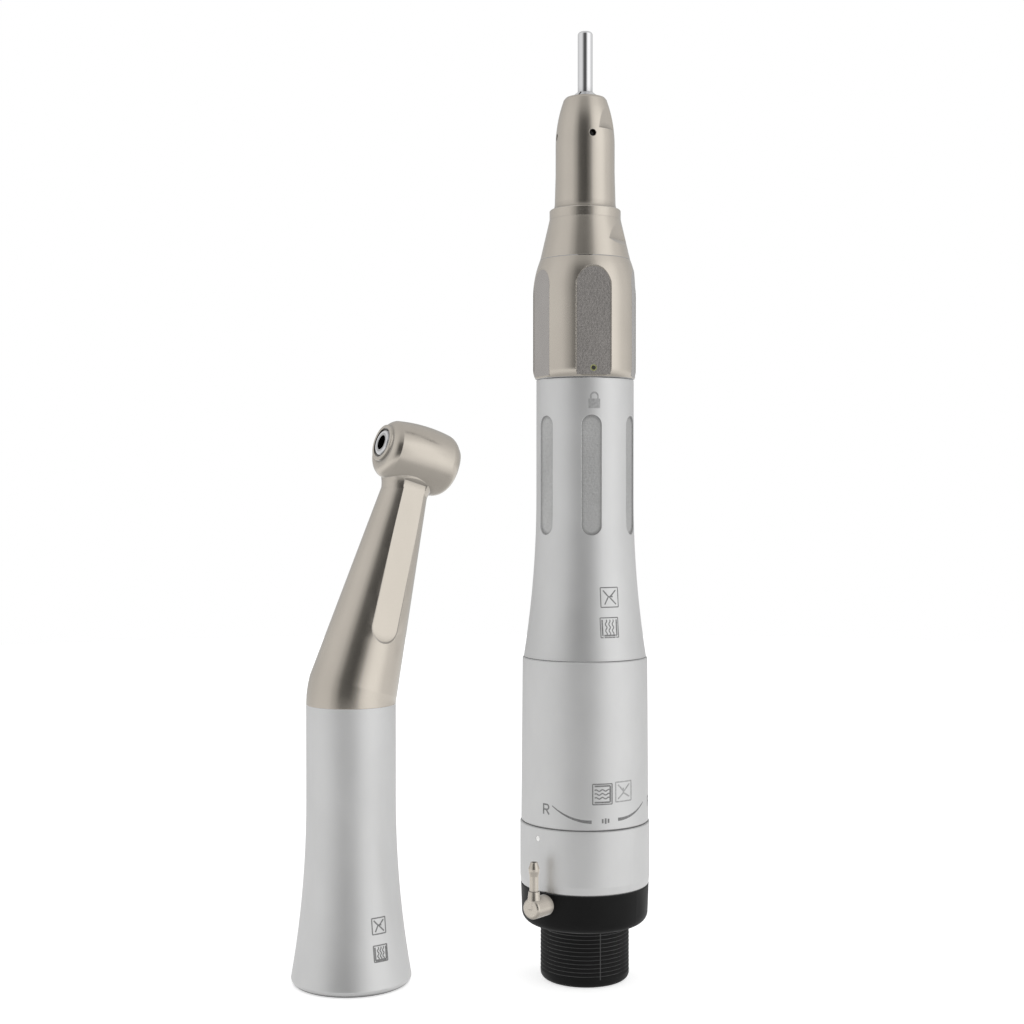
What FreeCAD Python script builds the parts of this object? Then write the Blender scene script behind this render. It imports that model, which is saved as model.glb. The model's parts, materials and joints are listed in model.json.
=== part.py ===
"""Low-speed dental handpiece set: an air motor with a straight handpiece fitted, and a
contra-angle handpiece for the same motor standing beside it.

Frame: the origin is the centre of the motor's rear end face, +Z runs up the motor axis to
the bur, -Y is the front and +X the right.  Lengths are millimetres, angles degrees.
"""
import FreeCAD, Part
import math
import os
from types import SimpleNamespace

import Sketcher

# --------------------------------------------------------------------------------------
# Driving dimensions.  Names ending in _z are heights on the piece's own axis, names
# ending in _rad are radii from it, and names ending in _az are azimuths to the right of
# the front.
# --------------------------------------------------------------------------------------
DIMENSIONS = {
    # Fits, and how far cuts run clear of the metal
    "running_gap": 0.05,
    "seam_gap": 0.1,
    "cut_margin": 1.0,
    "cut_reach": 4.0,
    # Threaded hose connector
    "thread_rad": 7.0,
    "thread_pitch": 0.635,
    "thread_turns": 12,
    "thread_depth": 0.38,
    "thread_land": 0.16,
    "thread_margin": 0.1,
    "thread_crest_break": 0.06,
    "thread_start_z": 1.45,
    "connector_round": 1.0,
    "gasket_rad": 5.0,
    "gasket_height": 1.2,
    "spigot_rad": 6.0,
    "air_port_rad": 1.5,
    "air_port_offset": 3.0,
    "water_port_rad": 0.8,
    "water_port_offset": 2.6,
    "passage_rad": 0.5,
    "port_az": -40,
    # Rear cap
    "cap_bottom_z": 9.0,
    "cap_floor_z": 14.55,
    "cap_top_z": 15.05,
    "cap_round": 1.7,
    "cap_low_rad": 9.95,
    "cap_rad": 10.1,
    # Spray elbow and nipple, about the elbow's own level
    "spray_z": 13.3,
    "spray_pipe_rad": 1.6,
    "spray_inner_x": 9.0,
    "spray_outer_x": 13.65,
    "spray_end_round": 0.45,
    "nipple_x": 12.75,
    "nipple_foot_rad": 1.0,
    "nipple_foot_z": 1.3,
    "nipple_collar_rad": 0.84,
    "nipple_boss_height": 2.6,
    "nipple_rad": 0.7,
    "nipple_bore_rad": 0.35,
    "barb_rad": 0.86,
    "barb_foot_z": 4.9,
    "barb_low_z": 5.7,
    "barb_high_z": 6.1,
    "nipple_top_z": 7.05,
    "nipple_tip_rad": 0.54,
    # Valve housing and direction ring
    "housing_top_z": 21.9,
    "ring_bore_rad": 9.0,
    "ring_bottom_z": 15.15,
    "ring_top_z": 25.0,
    "ring_low_rad": 10.1,
    "ring_rad": 10.2,
    "ring_step_z": 16.4,
    "edge_break": 0.15,
    "post_rad": 2.5,
    "post_top_z": 24.8,
    "detent_z": 18.5,
    "detent_ball_rad": 1.0,
    "detent_bore_rad": 1.05,
    "detent_ball_centre": 8.35,
    "detent_bore_floor": 4.5,
    "detent_groove_rad": 9.45,
    "detent_groove_half": 0.85,
    "detent_wire_rad": 0.15,
    "detent_coil_rad": 0.7,
    "detent_spring_length": 2.6,
    "detent_spring_pitch": 0.55,
    "valve_rad": 8.0,
    "valve_bottom_z": 22.0,
    "valve_top_z": 23.6,
    "valve_port_rad": 0.9,
    "valve_port_circle": 4.2,
    "key_rad": 0.6,
    "key_z": 22.8,
    "key_inner": 6.5,
    "key_outer": 9.6,
    "index_dot_rad": 0.42,
    "index_dot_depth": 0.12,
    "index_dot_z": 23.3,
    "index_dot_az": -48,
    # Motor sleeve, end plates and stator
    "sleeve_bottom_z": 25.1,
    "sleeve_top_z": 50.8,
    "sleeve_low_rad": 10.05,
    "sleeve_high_rad": 9.85,
    "sleeve_bore_rad": 9.0,
    "rear_plate_bottom_z": 23.8,
    "rear_plate_top_z": 27.8,
    "rear_web_z": 25.3,
    "front_plate_bottom_z": 44.8,
    "front_web_z": 46.3,
    "front_plate_top_z": 48.8,
    "plate_hole_rad": 1.8,
    "stator_bore_rad": 6.6,
    "stator_offset": 0.9,
    "vent_rad": 0.8,
    "vent_circle": 7.0,
    "motor_bearing_low_z": 25.4,
    "motor_bearing_high_z": 46.5,
    # Motor nose
    "nose_base_rad": 6.2,
    "nose_base_top_z": 56.8,
    "nose_tube_rad": 4.1,
    "nose_tube_top_z": 73.8,
    "nose_bore_rad": 3.0,
    "nose_round": 0.6,
    "clip_bottom_z": 59.9,
    "clip_height": 0.8,
    "clip_inner_rad": 3.75,
    "clip_outer_rad": 4.13,
    "o_ring_groove_rad": 3.3,
    "o_ring_groove_half": 0.45,
    "o_ring_rad": 3.71,
    "o_ring_section_rad": 0.41,
    "o_ring_low_z": 64.5,
    "o_ring_high_z": 68.5,
    # Rotor, vanes and drive fork
    "shaft_rad": 1.5,
    "shaft_bottom_z": 25.5,
    "shaft_top_z": 59.5,
    "rotor_rad": 5.6,
    "rotor_bottom_z": 28.0,
    "rotor_top_z": 44.6,
    "vane_count": 4,
    "vane_slot_width": 1.1,
    "vane_slot_floor": 3.0,
    "vane_width": 1.0,
    "vane_inner": 3.1,
    "vane_outer": 5.58,
    "vane_margin": 0.15,
    "fork_rad": 2.6,
    "fork_bottom_z": 56.5,
    "fork_slot_z": 60.1,
    "fork_top_z": 65.5,
    "fork_slot_width": 1.0,
    "tongue_width": 0.9,
    "tongue_reach": 2.3,
    # Straight handpiece: sheath
    "sheath_bottom_z": 50.9,
    "sheath_top_z": 94.4,
    "sheath_foot_rad": 9.65,
    "sheath_rad": 7.67,
    "sheath_flare_top_z": 75.9,
    "sheath_flare_round": 159.0,
    "sheath_step_z": 57.5,
    "sheath_wide_bore_rad": 6.9,
    "sheath_bore_rad": 5.9,
    "grip_count": 6,
    "grip_az": 5,
    "grip_width": 3.1,
    "grip_corner": 1.52,
    "grip_floor": 7.32,
    "grip_bottom_z": 70.1,
    "grip_top_z": 88.6,
    # Straight handpiece: coupling sleeve and inner barrel
    "coupling_wide_top_z": 57.0,
    "coupling_top_z": 74.5,
    "coupling_wide_bore_rad": 6.25,
    "coupling_bore_rad": 4.15,
    "clip_groove_rad": 4.3,
    "clip_groove_half": 0.7,
    "barrel_bore_rad": 4.5,
    "barrel_seat_top_z": 83.5,
    "barrel_lip_z": 77.4,
    "barrel_lip_rad": 3.0,
    "barrel_top_z": 113.2,
    # Lock ring, release sleeve and cam pins
    "lock_bottom_z": 94.5,
    "lock_top_z": 113.1,
    "lock_bore_rad": 6.85,
    "lock_foot_rad": 7.8,
    "lock_foot_round": 1.4,
    "lock_rad": 8.2,
    "lock_crown_z": 107.5,
    "lock_crown_rad": 7.15,
    "lock_crown_round": 15.7,
    "lock_flat_count": 5,
    "lock_az": 7.2,
    "lock_flat_width": 5.5,
    "lock_flat_floor": 7.62,
    "lock_flat_top_z": 111.55,
    "lock_dimple_rad": 0.35,
    "lock_dimple_z": 95.8,
    "lock_dimple_depth": 0.25,
    "lock_turn": 45,
    "release_travel": 1.2,
    "release_bottom_z": 96.3,
    "release_top_z": 107.2,
    "release_bore_rad": 5.95,
    "release_rad": 6.8,
    "cam_pin_rad": 0.5,
    "cam_pin_z": 100.3,
    "cam_pin_inner": 6.1,
    "cam_pin_outer": 7.15,
    "cam_slot_rad": 7.25,
    "cam_slot_half": 0.62,
    "cam_slot_margin": 6.5,
    # Front cone and nose piece
    "cone_bottom_z": 113.2,
    "cone_foot_rad": 7.1,
    "cone_top_rad": 5.62,
    "cone_top_z": 119.5,
    "collar_rad": 5.6,
    "collar_top_z": 121.05,
    "cone_flat": 5.85,
    "cone_flat_ledge_z": 116.0,
    "flat_az": 57,
    "tip_spigot_rad": 4.5,
    "tip_spigot_z": 107.2,
    "tip_root_rad": 5.0,
    "tip_neck_rad": 4.78,
    "tip_neck_z": 122.3,
    "tip_root_round": 1.6,
    "tip_rad": 4.65,
    "tip_straight_z": 126.9,
    "tip_curve_z": 130.9,
    "tip_end_rad": 3.4,
    "tip_end_z": 138.3,
    "tip_curve_round": 21.4,
    "tip_face_rad": 3.1,
    "tip_face_z": 138.65,
    "tip_bore_rad": 3.9,
    "tip_bore_top_z": 131.7,
    "tip_cavity_rad": 3.3,
    "tip_cavity_top_z": 137.0,
    "tip_hole_rad": 2.6,
    "tip_flat": 3.87,
    "tip_flat_ledge_z": 133.3,
    "vent_hole_rad": 0.55,
    "vent_hole_z": 132.4,
    "seal_bottom_z": 136.0,
    "seal_bore_rad": 2.55,
    # Spindle, collet, spring and bur
    "spindle_rad": 2.5,
    "spindle_bottom_z": 65.8,
    "spindle_top_z": 138.55,
    "tongue_bottom_z": 60.5,
    "spindle_bore_rad": 1.3,
    "spindle_bore_z": 103.2,
    "collet_bore_rad": 2.1,
    "collet_bore_z": 121.0,
    "collet_rad": 2.07,
    "collet_bottom_z": 130.4,
    "collet_lip_z": 138.95,
    "collet_top_z": 139.55,
    "collet_lip_rad": 1.3,
    "collet_hole_rad": 1.19,
    "collet_slot_width": 0.3,
    "collet_slot_z": 133.1,
    "collet_slot_count": 3,
    "collet_spring_wire": 0.22,
    "collet_spring_coil": 1.65,
    "collet_spring_pitch": 1.3,
    "bur_rad": 1.175,
    "bur_bottom_z": 105.1,
    "bur_top_z": 149.1,
    "bur_round": 0.5,
    "spindle_rear_bearing_z": 77.5,
    "spindle_mid_bearing_z": 123.1,
    "spindle_front_bearing_z": 129.1,
    # Ball bearings: inner race, outer race and seat radii, width, and the balls
    "motor_race_in": 2.2,
    "motor_race_out": 3.3,
    "motor_seat": 4.0,
    "motor_race_width": 2.0,
    "motor_ball": 0.53,
    "motor_ball_count": 8,
    "spindle_race_in": 2.9,
    "spindle_race_out": 3.5,
    "spindle_seat": 3.9,
    "spindle_race_width": 2.5,
    "spindle_ball": 0.28,
    "spindle_ball_count": 12,
    "neck_race_in": 2.05,
    "neck_race_out": 2.6,
    "neck_seat": 3.0,
    "neck_race_width": 2.0,
    "neck_ball": 0.26,
    "neck_ball_count": 9,
    "head_race_in": 2.3,
    "head_race_out": 2.9,
    "head_seat": 3.3,
    "head_race_width": 1.1,
    "head_ball": 0.28,
    "head_ball_count": 10,
    # Contra-angle: place, sheath and coupling
    "contra_x": -36.75,
    "contra_y": -2.4,
    "contra_az": 31,
    "contra_sheath_top_z": 43.6,
    "contra_foot_rad": 9.42,
    "contra_foot_round": 1.0,
    "contra_flare_top_z": 28.8,
    "contra_flare_round": 159.7,
    "contra_rad": 7.0,
    "contra_foot_bore_rad": 6.9,
    "contra_bore_rad": 5.9,
    "contra_bore_step_z": 7.5,
    "contra_seat_z": 30.0,
    "contra_upper_bore_rad": 5.6,
    "socket_bottom_z": 0.2,
    "socket_rad": 6.25,
    "socket_step_z": 6.2,
    "socket_tube_rad": 4.15,
    "socket_top_z": 23.5,
    "socket_web_z": 25.9,
    "socket_web_rad": 3.0,
    "contra_tongue_z": 13.5,
    "contra_shaft_z": 18.0,
    "contra_shaft_top_z": 42.1,
    "contra_bearing_low_z": 26.0,
    "contra_bearing_high_z": 36.7,
    # Contra-angle: neck and head
    "bend_z": 45.0,
    "bend_angle": 16.5,
    "bend_round": 9.3,
    "neck_spigot_z": 32.5,
    "neck_bore_rad": 3.9,
    "neck_cavity_end": 3.9,
    "neck_length": 39.5,
    "neck_narrow_rad": 3.66,
    "neck_narrow_z": 33.7,
    "neck_flat_low_z": 9.0,
    "neck_flat_high_z": 34.8,
    "neck_flat_low_width": 4.4,
    "neck_flat_high_width": 3.9,
    "neck_flat_depth": 0.5,
    "neck_flat_draft": 28,
    "neck_shaft_rad": 1.6,
    "neck_shaft_low_z": 1.8,
    "neck_shaft_high_z": 35.3,
    "neck_bearing_low_z": 4.1,
    "neck_bearing_high_z": 31.9,
    "head_front_z": 6.1,
    "head_drop": 0.55,
    "head_front_rad": 4.6,
    "head_front_edge_z": 4.5,
    "head_front_round": 2.2,
    "head_barrel_round": 26,
    "head_nose_rad": 3.4,
    "head_face_rad": 2.95,
    "head_face_bevel_z": 5.6,
    "head_back_rim_rad": 3.7,
    "foot_low_z": 32.6,
    "foot_low_rad": 3.7,
    "foot_middle_z": 34.3,
    "foot_middle_along": 4.2,
    "foot_high_z": 36.0,
    "foot_high_along": 5.5,
    "foot_high_beside": 4.0,
    "head_back_rad": 5.1,
    "head_shoulder_z": -4.7,
    "head_back_z": -6.5,
    "head_dome_round": 2.6,
    "head_bore_rad": 3.45,
    "head_cavity_z": 3.45,
    "head_lip_z": 4.8,
    "head_hole_rad": 2.4,
    "back_cap_low_z": -5.2,
    "back_cap_seat_z": -4.1,
    "back_cap_high_z": -2.95,
    "back_cap_hole_rad": 1.95,
    "button_rad": 3.35,
    "button_rim_z": -6.3,
    "button_floor_z": -6.7,
    "button_edge_z": -6.65,
    "button_break": 0.08,
    "button_top_z": -7.3,
    "button_dome_round": 8.95,
    "button_recess_rad": 2.6,
    "button_coil_rad": 2.0,
    "button_wire_rad": 0.14,
    "button_spring_pitch": 0.32,
    "button_spring_low_z": -6.56,
    "button_spring_length": 0.32,
    "head_tube_rad": 1.8,
    "head_tube_low_z": -4.3,
    "head_flange_z": 5.1,
    "head_flange_rad": 2.0,
    "head_tube_top_z": 6.15,
    "head_tube_bore_rad": 1.55,
    "chuck_rad": 1.55,
    "chuck_bore_rad": 1.18,
    "chuck_floor_z": -3.6,
    "chuck_wall": 0.5,
    # Bevel gears
    "tooth_count": 12,
    "tooth_rise": 0.28,
    "tooth_fall": 0.42,
    "tooth_sink": 0.12,
    "tooth_backlash": 0.1,
    "tooth_lean": 0.36,
    "bend_pitch_rad": 3.0,
    "bend_face": 1.0,
    "bend_gear_back": 2.3,
    "head_pitch_rad": 2.5,
    "head_face": 0.55,
    "pinion_back": 4.2,
    "head_gear_back": 3.3,
}


class Size:
    """A number together with the spreadsheet formula that gives it."""

    def __init__(self, value, formula):
        self.value = value
        self.formula = formula

    def __add__(self, other):
        other = sized(other)
        return Size(self.value + other.value, f"({self.formula} + {other.formula})")

    def __sub__(self, other):
        other = sized(other)
        return Size(self.value - other.value, f"({self.formula} - {other.formula})")

    def __mul__(self, other):
        other = sized(other)
        return Size(self.value * other.value, f"({self.formula} * {other.formula})")

    def __truediv__(self, other):
        other = sized(other)
        return Size(self.value / other.value, f"({self.formula} / {other.formula})")

    def __neg__(self):
        return Size(-self.value, f"(-1 * {self.formula})")

    __radd__ = __add__
    __rmul__ = __mul__

    def __rsub__(self, other):
        return sized(other) - self


def sized(number):
    """Give a plain number the form of a Size."""
    if isinstance(number, Size):
        return number
    return Size(number, f"({number})")


doc = FreeCAD.newDocument("handpiece_set")
sheet = doc.addObject("Spreadsheet::Sheet", "Dimensions")
for row, (alias, number) in enumerate(DIMENSIONS.items(), start=1):
    sheet.set(f"A{row}", alias)
    sheet.set(f"B{row}", str(number))
    sheet.setAlias(f"B{row}", alias)
doc.recompute()
D = SimpleNamespace(**{
    alias: Size(float(sheet.get(alias)), f"Dimensions.{alias}") for alias in DIMENSIONS
})

NODES = []


# --------------------------------------------------------------------------------------
# Building blocks
# --------------------------------------------------------------------------------------
def keep(thing, node):
    """Name a finished object as a node of the set."""
    thing.Label = node
    NODES.append(thing)
    return thing


def new_body(node):
    body = doc.addObject("PartDesign::Body", node)
    body.AllowCompound = True
    return keep(body, node)


def origin_part(body, role):
    return next(part for part in body.Origin.OriginFeatures if part.Role == role)


def bind(thing, path, size):
    """Bind a property to its formula in the spreadsheet."""
    thing.setExpression(path, sized(size).formula)


def new_sketch(body, plane, offset=0, lift=0, tilt=0, swing=0, lean=0):
    """A sketch on an origin plane, moved along its normal and up.

    It is tilted in its own plane, swung about its upright axis, or leaned forward about
    its level axis before it is moved.
    """
    sketch = body.newObject("Sketcher::SketchObject", "outline")
    sketch.AttachmentSupport = (origin_part(body, plane), "")
    sketch.MapMode = "FlatFace"
    in_plane = FreeCAD.Rotation(FreeCAD.Vector(0, 0, 1), sized(tilt).value)
    about_up = FreeCAD.Rotation(FreeCAD.Vector(0, 1, 0), swing)
    about_level = FreeCAD.Rotation(FreeCAD.Vector(1, 0, 0), lean)
    away = about_up.multVec(FreeCAD.Vector(0, 0, 1))
    sketch.AttachmentOffset = FreeCAD.Placement(
        FreeCAD.Vector(), about_up * about_level * in_plane)
    bind(sketch, "AttachmentOffset.Base.x", sized(offset) * round(away.x, 6))
    bind(sketch, "AttachmentOffset.Base.y", lift)
    bind(sketch, "AttachmentOffset.Base.z", sized(offset) * round(away.z, 6))
    return sketch


def hold(sketch, kind, first, second, size):
    """A signed distance constraint from the origin, or onto an axis where it is zero."""
    size = sized(size)
    if abs(size.value) < 1e-9:
        axis = -2 if kind == "DistanceX" else -1
        sketch.addConstraint(Sketcher.Constraint("PointOnObject", first, second, axis))
        return
    if size.value > 0:
        number = sketch.addConstraint(
            Sketcher.Constraint(kind, -1, 1, first, second, size.value))
        sketch.setExpression(f"Constraints[{number}]", size.formula)
    else:
        number = sketch.addConstraint(
            Sketcher.Constraint(kind, first, second, -1, 1, -size.value))
        sketch.setExpression(f"Constraints[{number}]", (-size).formula)


def arc_between(start, end, bend):
    """The arc from start to end; it turns left for a positive bend radius."""
    along = end - start
    side = FreeCAD.Vector(-along.y, along.x, 0).normalize()
    rise = math.sqrt(max(bend * bend - along.Length ** 2 / 4, 0))
    centre = (start + end) * 0.5 + side * math.copysign(rise, bend)
    first, last = (start, end) if bend > 0 else (end, start)
    angles = [math.atan2(point.y - centre.y, point.x - centre.x) for point in (first, last)]
    if angles[1] < angles[0]:
        angles[1] += 2 * math.pi
    circle = Part.Circle(centre, FreeCAD.Vector(0, 0, 1), abs(bend))
    return Part.ArcOfCircle(circle, angles[0], angles[1])


def add_outline(sketch, points):
    """A closed outline.  A point is (x, y), or (x, y, bend) where an arc arrives at it."""
    count = len(points)
    corners = [FreeCAD.Vector(sized(p[0]).value, sized(p[1]).value, 0) for p in points]
    edges = []
    for number in range(count):
        start, end = corners[number], corners[(number + 1) % count]
        target = points[(number + 1) % count]
        bend = sized(target[2]) if len(target) == 3 else None
        if bend is None:
            edge = sketch.addGeometry(Part.LineSegment(start, end), False)
            edges.append((edge, 1, 2))
            continue
        edge = sketch.addGeometry(arc_between(start, end, bend.value), False)
        edges.append((edge, 1, 2) if bend.value > 0 else (edge, 2, 1))
        radius = bend if bend.value > 0 else -bend
        rule = sketch.addConstraint(Sketcher.Constraint("Radius", edge, radius.value))
        sketch.setExpression(f"Constraints[{rule}]", radius.formula)
    for number, (edge, first, _) in enumerate(edges):
        previous, _, last = edges[number - 1]
        sketch.addConstraint(Sketcher.Constraint("Coincident", previous, last, edge, first))
        hold(sketch, "DistanceX", edge, first, points[number][0])
        hold(sketch, "DistanceY", edge, first, points[number][1])


def add_circle(sketch, across, up, radius):
    radius = sized(radius)
    centre = FreeCAD.Vector(sized(across).value, sized(up).value, 0)
    circle = Part.Circle(centre, FreeCAD.Vector(0, 0, 1), radius.value)
    edge = sketch.addGeometry(circle, False)
    rule = sketch.addConstraint(Sketcher.Constraint("Radius", edge, radius.value))
    sketch.setExpression(f"Constraints[{rule}]", radius.formula)
    hold(sketch, "DistanceX", edge, 3, across)
    hold(sketch, "DistanceY", edge, 3, up)


def add_ellipse(sketch, along, beside):
    """An ellipse about the origin, from its two half widths."""
    along = sized(along)
    beside = sized(beside)
    long_end = FreeCAD.Vector(along.value + 1e-4, 0, 0)
    short_end = FreeCAD.Vector(0, beside.value, 0)
    ellipse = sketch.addGeometry(Part.Ellipse(long_end, short_end, FreeCAD.Vector()), False)
    sketch.exposeInternalGeometry(ellipse)
    hold(sketch, "DistanceX", ellipse, 3, 0)
    hold(sketch, "DistanceY", ellipse, 3, 0)
    sketch.addConstraint(Sketcher.Constraint("Horizontal", ellipse + 1))
    for line, half in ((ellipse + 1, along + 1e-4), (ellipse + 2, beside)):
        rule = sketch.addConstraint(Sketcher.Constraint("Distance", line, half.value * 2))
        sketch.setExpression(f"Constraints[{rule}]", (half * 2).formula)


def add_axis(sketch, across):
    """An upright construction line to turn a section about."""
    foot = FreeCAD.Vector(sized(across).value, -1, 0)
    head = FreeCAD.Vector(sized(across).value, 1, 0)
    line = sketch.addGeometry(Part.LineSegment(foot, head), True)
    for end, up in ((1, -1), (2, 1)):
        hold(sketch, "DistanceX", line, end, across)
        hold(sketch, "DistanceY", line, end, up)


def box_points(left, bottom, right, top):
    return [(left, bottom), (right, bottom), (right, top), (left, top)]


def slot_points(half, bottom, top, radius):
    """An upright slot, half as wide as its width, with corners of one radius."""
    return [
        (half, bottom + radius, radius),
        (half, top - radius),
        (half - radius, top, radius),
        (radius - half, top),
        (-half, top - radius, radius),
        (-half, bottom + radius),
        (radius - half, bottom, radius),
        (half - radius, bottom),
    ]


def feature(body, kind, sketch):
    thing = body.newObject(f"PartDesign::{kind}", kind.lower())
    thing.Profile = sketch
    return thing


def revolve(body, *outlines, kind="Revolution", lift=0, tilt=0):
    """Turn outlines (radius, height) about the upright axis of their sketch."""
    sketch = new_sketch(body, "XZ_Plane", lift=lift, tilt=tilt)
    for outline in outlines:
        add_outline(sketch, outline)
    turned = feature(body, kind, sketch)
    turned.ReferenceAxis = (sketch, ["V_Axis"])
    turned.Angle = 360
    return turned


def revolved(node, *outlines):
    body = new_body(node)
    revolve(body, *outlines)
    return body


def extrude(body, kind, sketch, length, reverse=False, midplane=False):
    thing = feature(body, kind, sketch)
    thing.Length = sized(length).value
    bind(thing, "Length", length)
    thing.Reversed = reverse
    thing.Midplane = midplane
    return thing


def drill(body, plane, across, up, radius, start, length, reverse=False):
    """A round hole cut from a plane start away, along its normal or against it."""
    sketch = new_sketch(body, plane, offset=start)
    add_circle(sketch, across, up, radius)
    return extrude(body, "Pocket", sketch, length, reverse=reverse)


def ring_of(body, cut, count, angle=360):
    """Repeat a feature about the body's Z axis."""
    pattern = body.newObject("PartDesign::PolarPattern", "ring")
    pattern.Originals = [cut]
    pattern.Axis = (origin_part(body, "Z_Axis"), [""])
    pattern.Angle = angle
    pattern.Occurrences = int(sized(count).value)
    bind(pattern, "Occurrences", count)
    body.Tip = pattern
    return pattern


def coil(body, coil_rad, wire_rad, start, length, pitch):
    """A round wire wound about the Z axis."""
    sketch = new_sketch(body, "XZ_Plane")
    add_circle(sketch, coil_rad, start, wire_rad)
    wound = feature(body, "AdditiveHelix", sketch)
    wound.ReferenceAxis = (sketch, ["V_Axis"])
    wound.Mode = "pitch-height-angle"
    bind(wound, "Pitch", pitch)
    bind(wound, "Height", length)
    return wound


def place(thing, x=0, y=0, z=0, turn=0, about=(0, 0, 1)):
    """Set a Placement from sizes: a turn about an axis, then a shift."""
    shift = FreeCAD.Vector(*(sized(part).value for part in (x, y, z)))
    rotation = FreeCAD.Rotation(FreeCAD.Vector(*about), sized(turn).value)
    thing.Placement = FreeCAD.Placement(shift, rotation)


def ring_points(inner, outer, bottom, top):
    return box_points(inner, bottom, outer, top)


def races(node, kind, shaft, levels, frame=None):
    """The inner races of one shaft's ball bearings, as one node."""
    race_in = getattr(D, f"{kind}_race_in")
    width = getattr(D, f"{kind}_race_width")
    body = revolved(node, *[ring_points(shaft, race_in, z, z + width) for z in levels])
    if frame:
        body.Placement = frame


def group(node, things, frame=None):
    """Several separate solids as one object."""
    compound = doc.addObject("Part::Compound", node)
    compound.Links = things
    if frame:
        compound.Placement = frame
    return compound


def outer_races(kind, levels, frame=None):
    race_out = getattr(D, f"{kind}_race_out")
    seat = getattr(D, f"{kind}_seat")
    width = getattr(D, f"{kind}_race_width")
    body = doc.addObject("PartDesign::Body", "outer_races")
    body.AllowCompound = True
    revolve(body, *[ring_points(race_out, seat, z, z + width) for z in levels])
    if frame:
        body.Placement = frame
    return body


def balls(kind, levels, frame=None):
    """A circle of balls in each of a shaft's bearings."""
    circle = (getattr(D, f"{kind}_race_in") + getattr(D, f"{kind}_race_out")) / 2
    width = getattr(D, f"{kind}_race_width")
    count = int(getattr(D, f"{kind}_ball_count").value)
    spheres = []
    for level in levels:
        for number in range(count):
            angle = 2 * math.pi * number / count
            ball = doc.addObject("Part::Sphere", "ball")
            bind(ball, "Radius", getattr(D, f"{kind}_ball"))
            bind(ball, "Placement.Base.x", circle * round(math.cos(angle), 6))
            bind(ball, "Placement.Base.y", circle * round(math.sin(angle), 6))
            bind(ball, "Placement.Base.z", level + width / 2)
            spheres.append(ball)
    return group("ball_circles", spheres, frame)


# --------------------------------------------------------------------------------------
# Motor: hose end
# --------------------------------------------------------------------------------------
def hose_connector():
    body = new_body("hose_connector")
    revolve(body, [
        (0, D.gasket_height),
        (D.gasket_rad, D.gasket_height),
        (D.gasket_rad, 0),
        (D.thread_rad - D.connector_round, 0),
        (D.thread_rad, D.connector_round, D.connector_round),
        (D.thread_rad, D.cap_bottom_z),
        (D.spigot_rad, D.cap_bottom_z),
        (D.spigot_rad, D.cap_floor_z),
        (0, D.cap_floor_z),
    ])
    groove_height = D.thread_pitch - D.thread_land
    sketch = new_sketch(body, "XZ_Plane")
    add_outline(sketch, [
        (D.thread_rad + D.thread_margin, D.thread_start_z - D.thread_crest_break),
        (D.thread_rad + D.thread_margin, D.thread_start_z + groove_height + D.thread_crest_break),
        (D.thread_rad - D.thread_depth, D.thread_start_z + groove_height / 2),
    ])
    groove = feature(body, "Groove", sketch)
    groove.ReferenceAxis = (sketch, ["V_Axis"])
    groove.Angle = 360
    pattern = body.newObject("PartDesign::LinearPattern", "thread")
    pattern.Originals = [groove]
    pattern.Direction = (origin_part(body, "Z_Axis"), [""])
    pattern.Occurrences = int(D.thread_turns.value)
    bind(pattern, "Occurrences", D.thread_turns)
    bind(pattern, "Length", D.thread_pitch * (D.thread_turns - 1))
    body.Tip = pattern
    hose_ports(body, D.cap_floor_z)
    drill(body, "XZ_Plane", 0, D.spray_z, D.passage_rad, D.water_port_offset, D.spigot_rad,
          reverse=True)
    place(body, turn=D.port_az)


def hose_ports(body, top):
    """The drive air port behind the axis and the water port in front of it."""
    drill(body, "XY_Plane", 0, D.air_port_offset, D.air_port_rad, 0, top, reverse=True)
    water = new_sketch(body, "XY_Plane")
    add_circle(water, 0, -D.water_port_offset, D.water_port_rad)
    extrude(body, "Pocket", water, D.spray_z + D.passage_rad, reverse=True)


def hose_gasket():
    body = revolved("hose_gasket", ring_points(0, D.gasket_rad, 0, D.gasket_height))
    hose_ports(body, D.gasket_height)
    place(body, turn=D.port_az)


def rear_cap():
    body = revolved("rear_cap", [
        (D.spigot_rad, D.cap_bottom_z),
        (D.cap_low_rad - D.cap_round, D.cap_bottom_z),
        (D.cap_low_rad, D.cap_bottom_z + D.cap_round, D.cap_round),
        (D.cap_rad, D.cap_top_z),
        (D.ring_bore_rad - D.running_gap, D.cap_top_z),
        (D.ring_bore_rad - D.running_gap, D.cap_floor_z),
        (D.spigot_rad, D.cap_floor_z),
    ])
    drill(body, "XZ_Plane", 0, D.spray_z, D.spray_pipe_rad, D.spray_inner_x, D.cut_reach,
          reverse=True)
    drill(body, "XZ_Plane", 0, D.spray_z, D.passage_rad, D.water_port_offset, D.spray_inner_x,
          reverse=True)
    place(body, turn=D.port_az)


def spray_elbow():
    """A pipe that lies along X, with a tapered boss for the nipple on the Z axis."""
    body = new_body("spray_elbow")
    inner = D.spray_inner_x - D.nipple_x
    outer = D.spray_outer_x - D.nipple_x
    revolve(body, [
        (0, inner),
        (D.spray_pipe_rad, inner),
        (D.spray_pipe_rad, outer - D.spray_end_round),
        (D.spray_pipe_rad - D.spray_end_round, outer, D.spray_end_round),
        (0, outer),
    ], tilt=-90)
    revolve(body, [
        (0, 0),
        (D.nipple_foot_rad, 0),
        (D.nipple_foot_rad, D.nipple_foot_z),
        (D.nipple_collar_rad, D.nipple_boss_height),
        (0, D.nipple_boss_height),
    ])
    drill(body, "YZ_Plane", 0, 0, D.passage_rad, inner, -inner, reverse=True)
    drill(body, "XY_Plane", 0, 0, D.nipple_rad, 0, D.nipple_boss_height, reverse=True)
    place_at_nipple(body)


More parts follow.
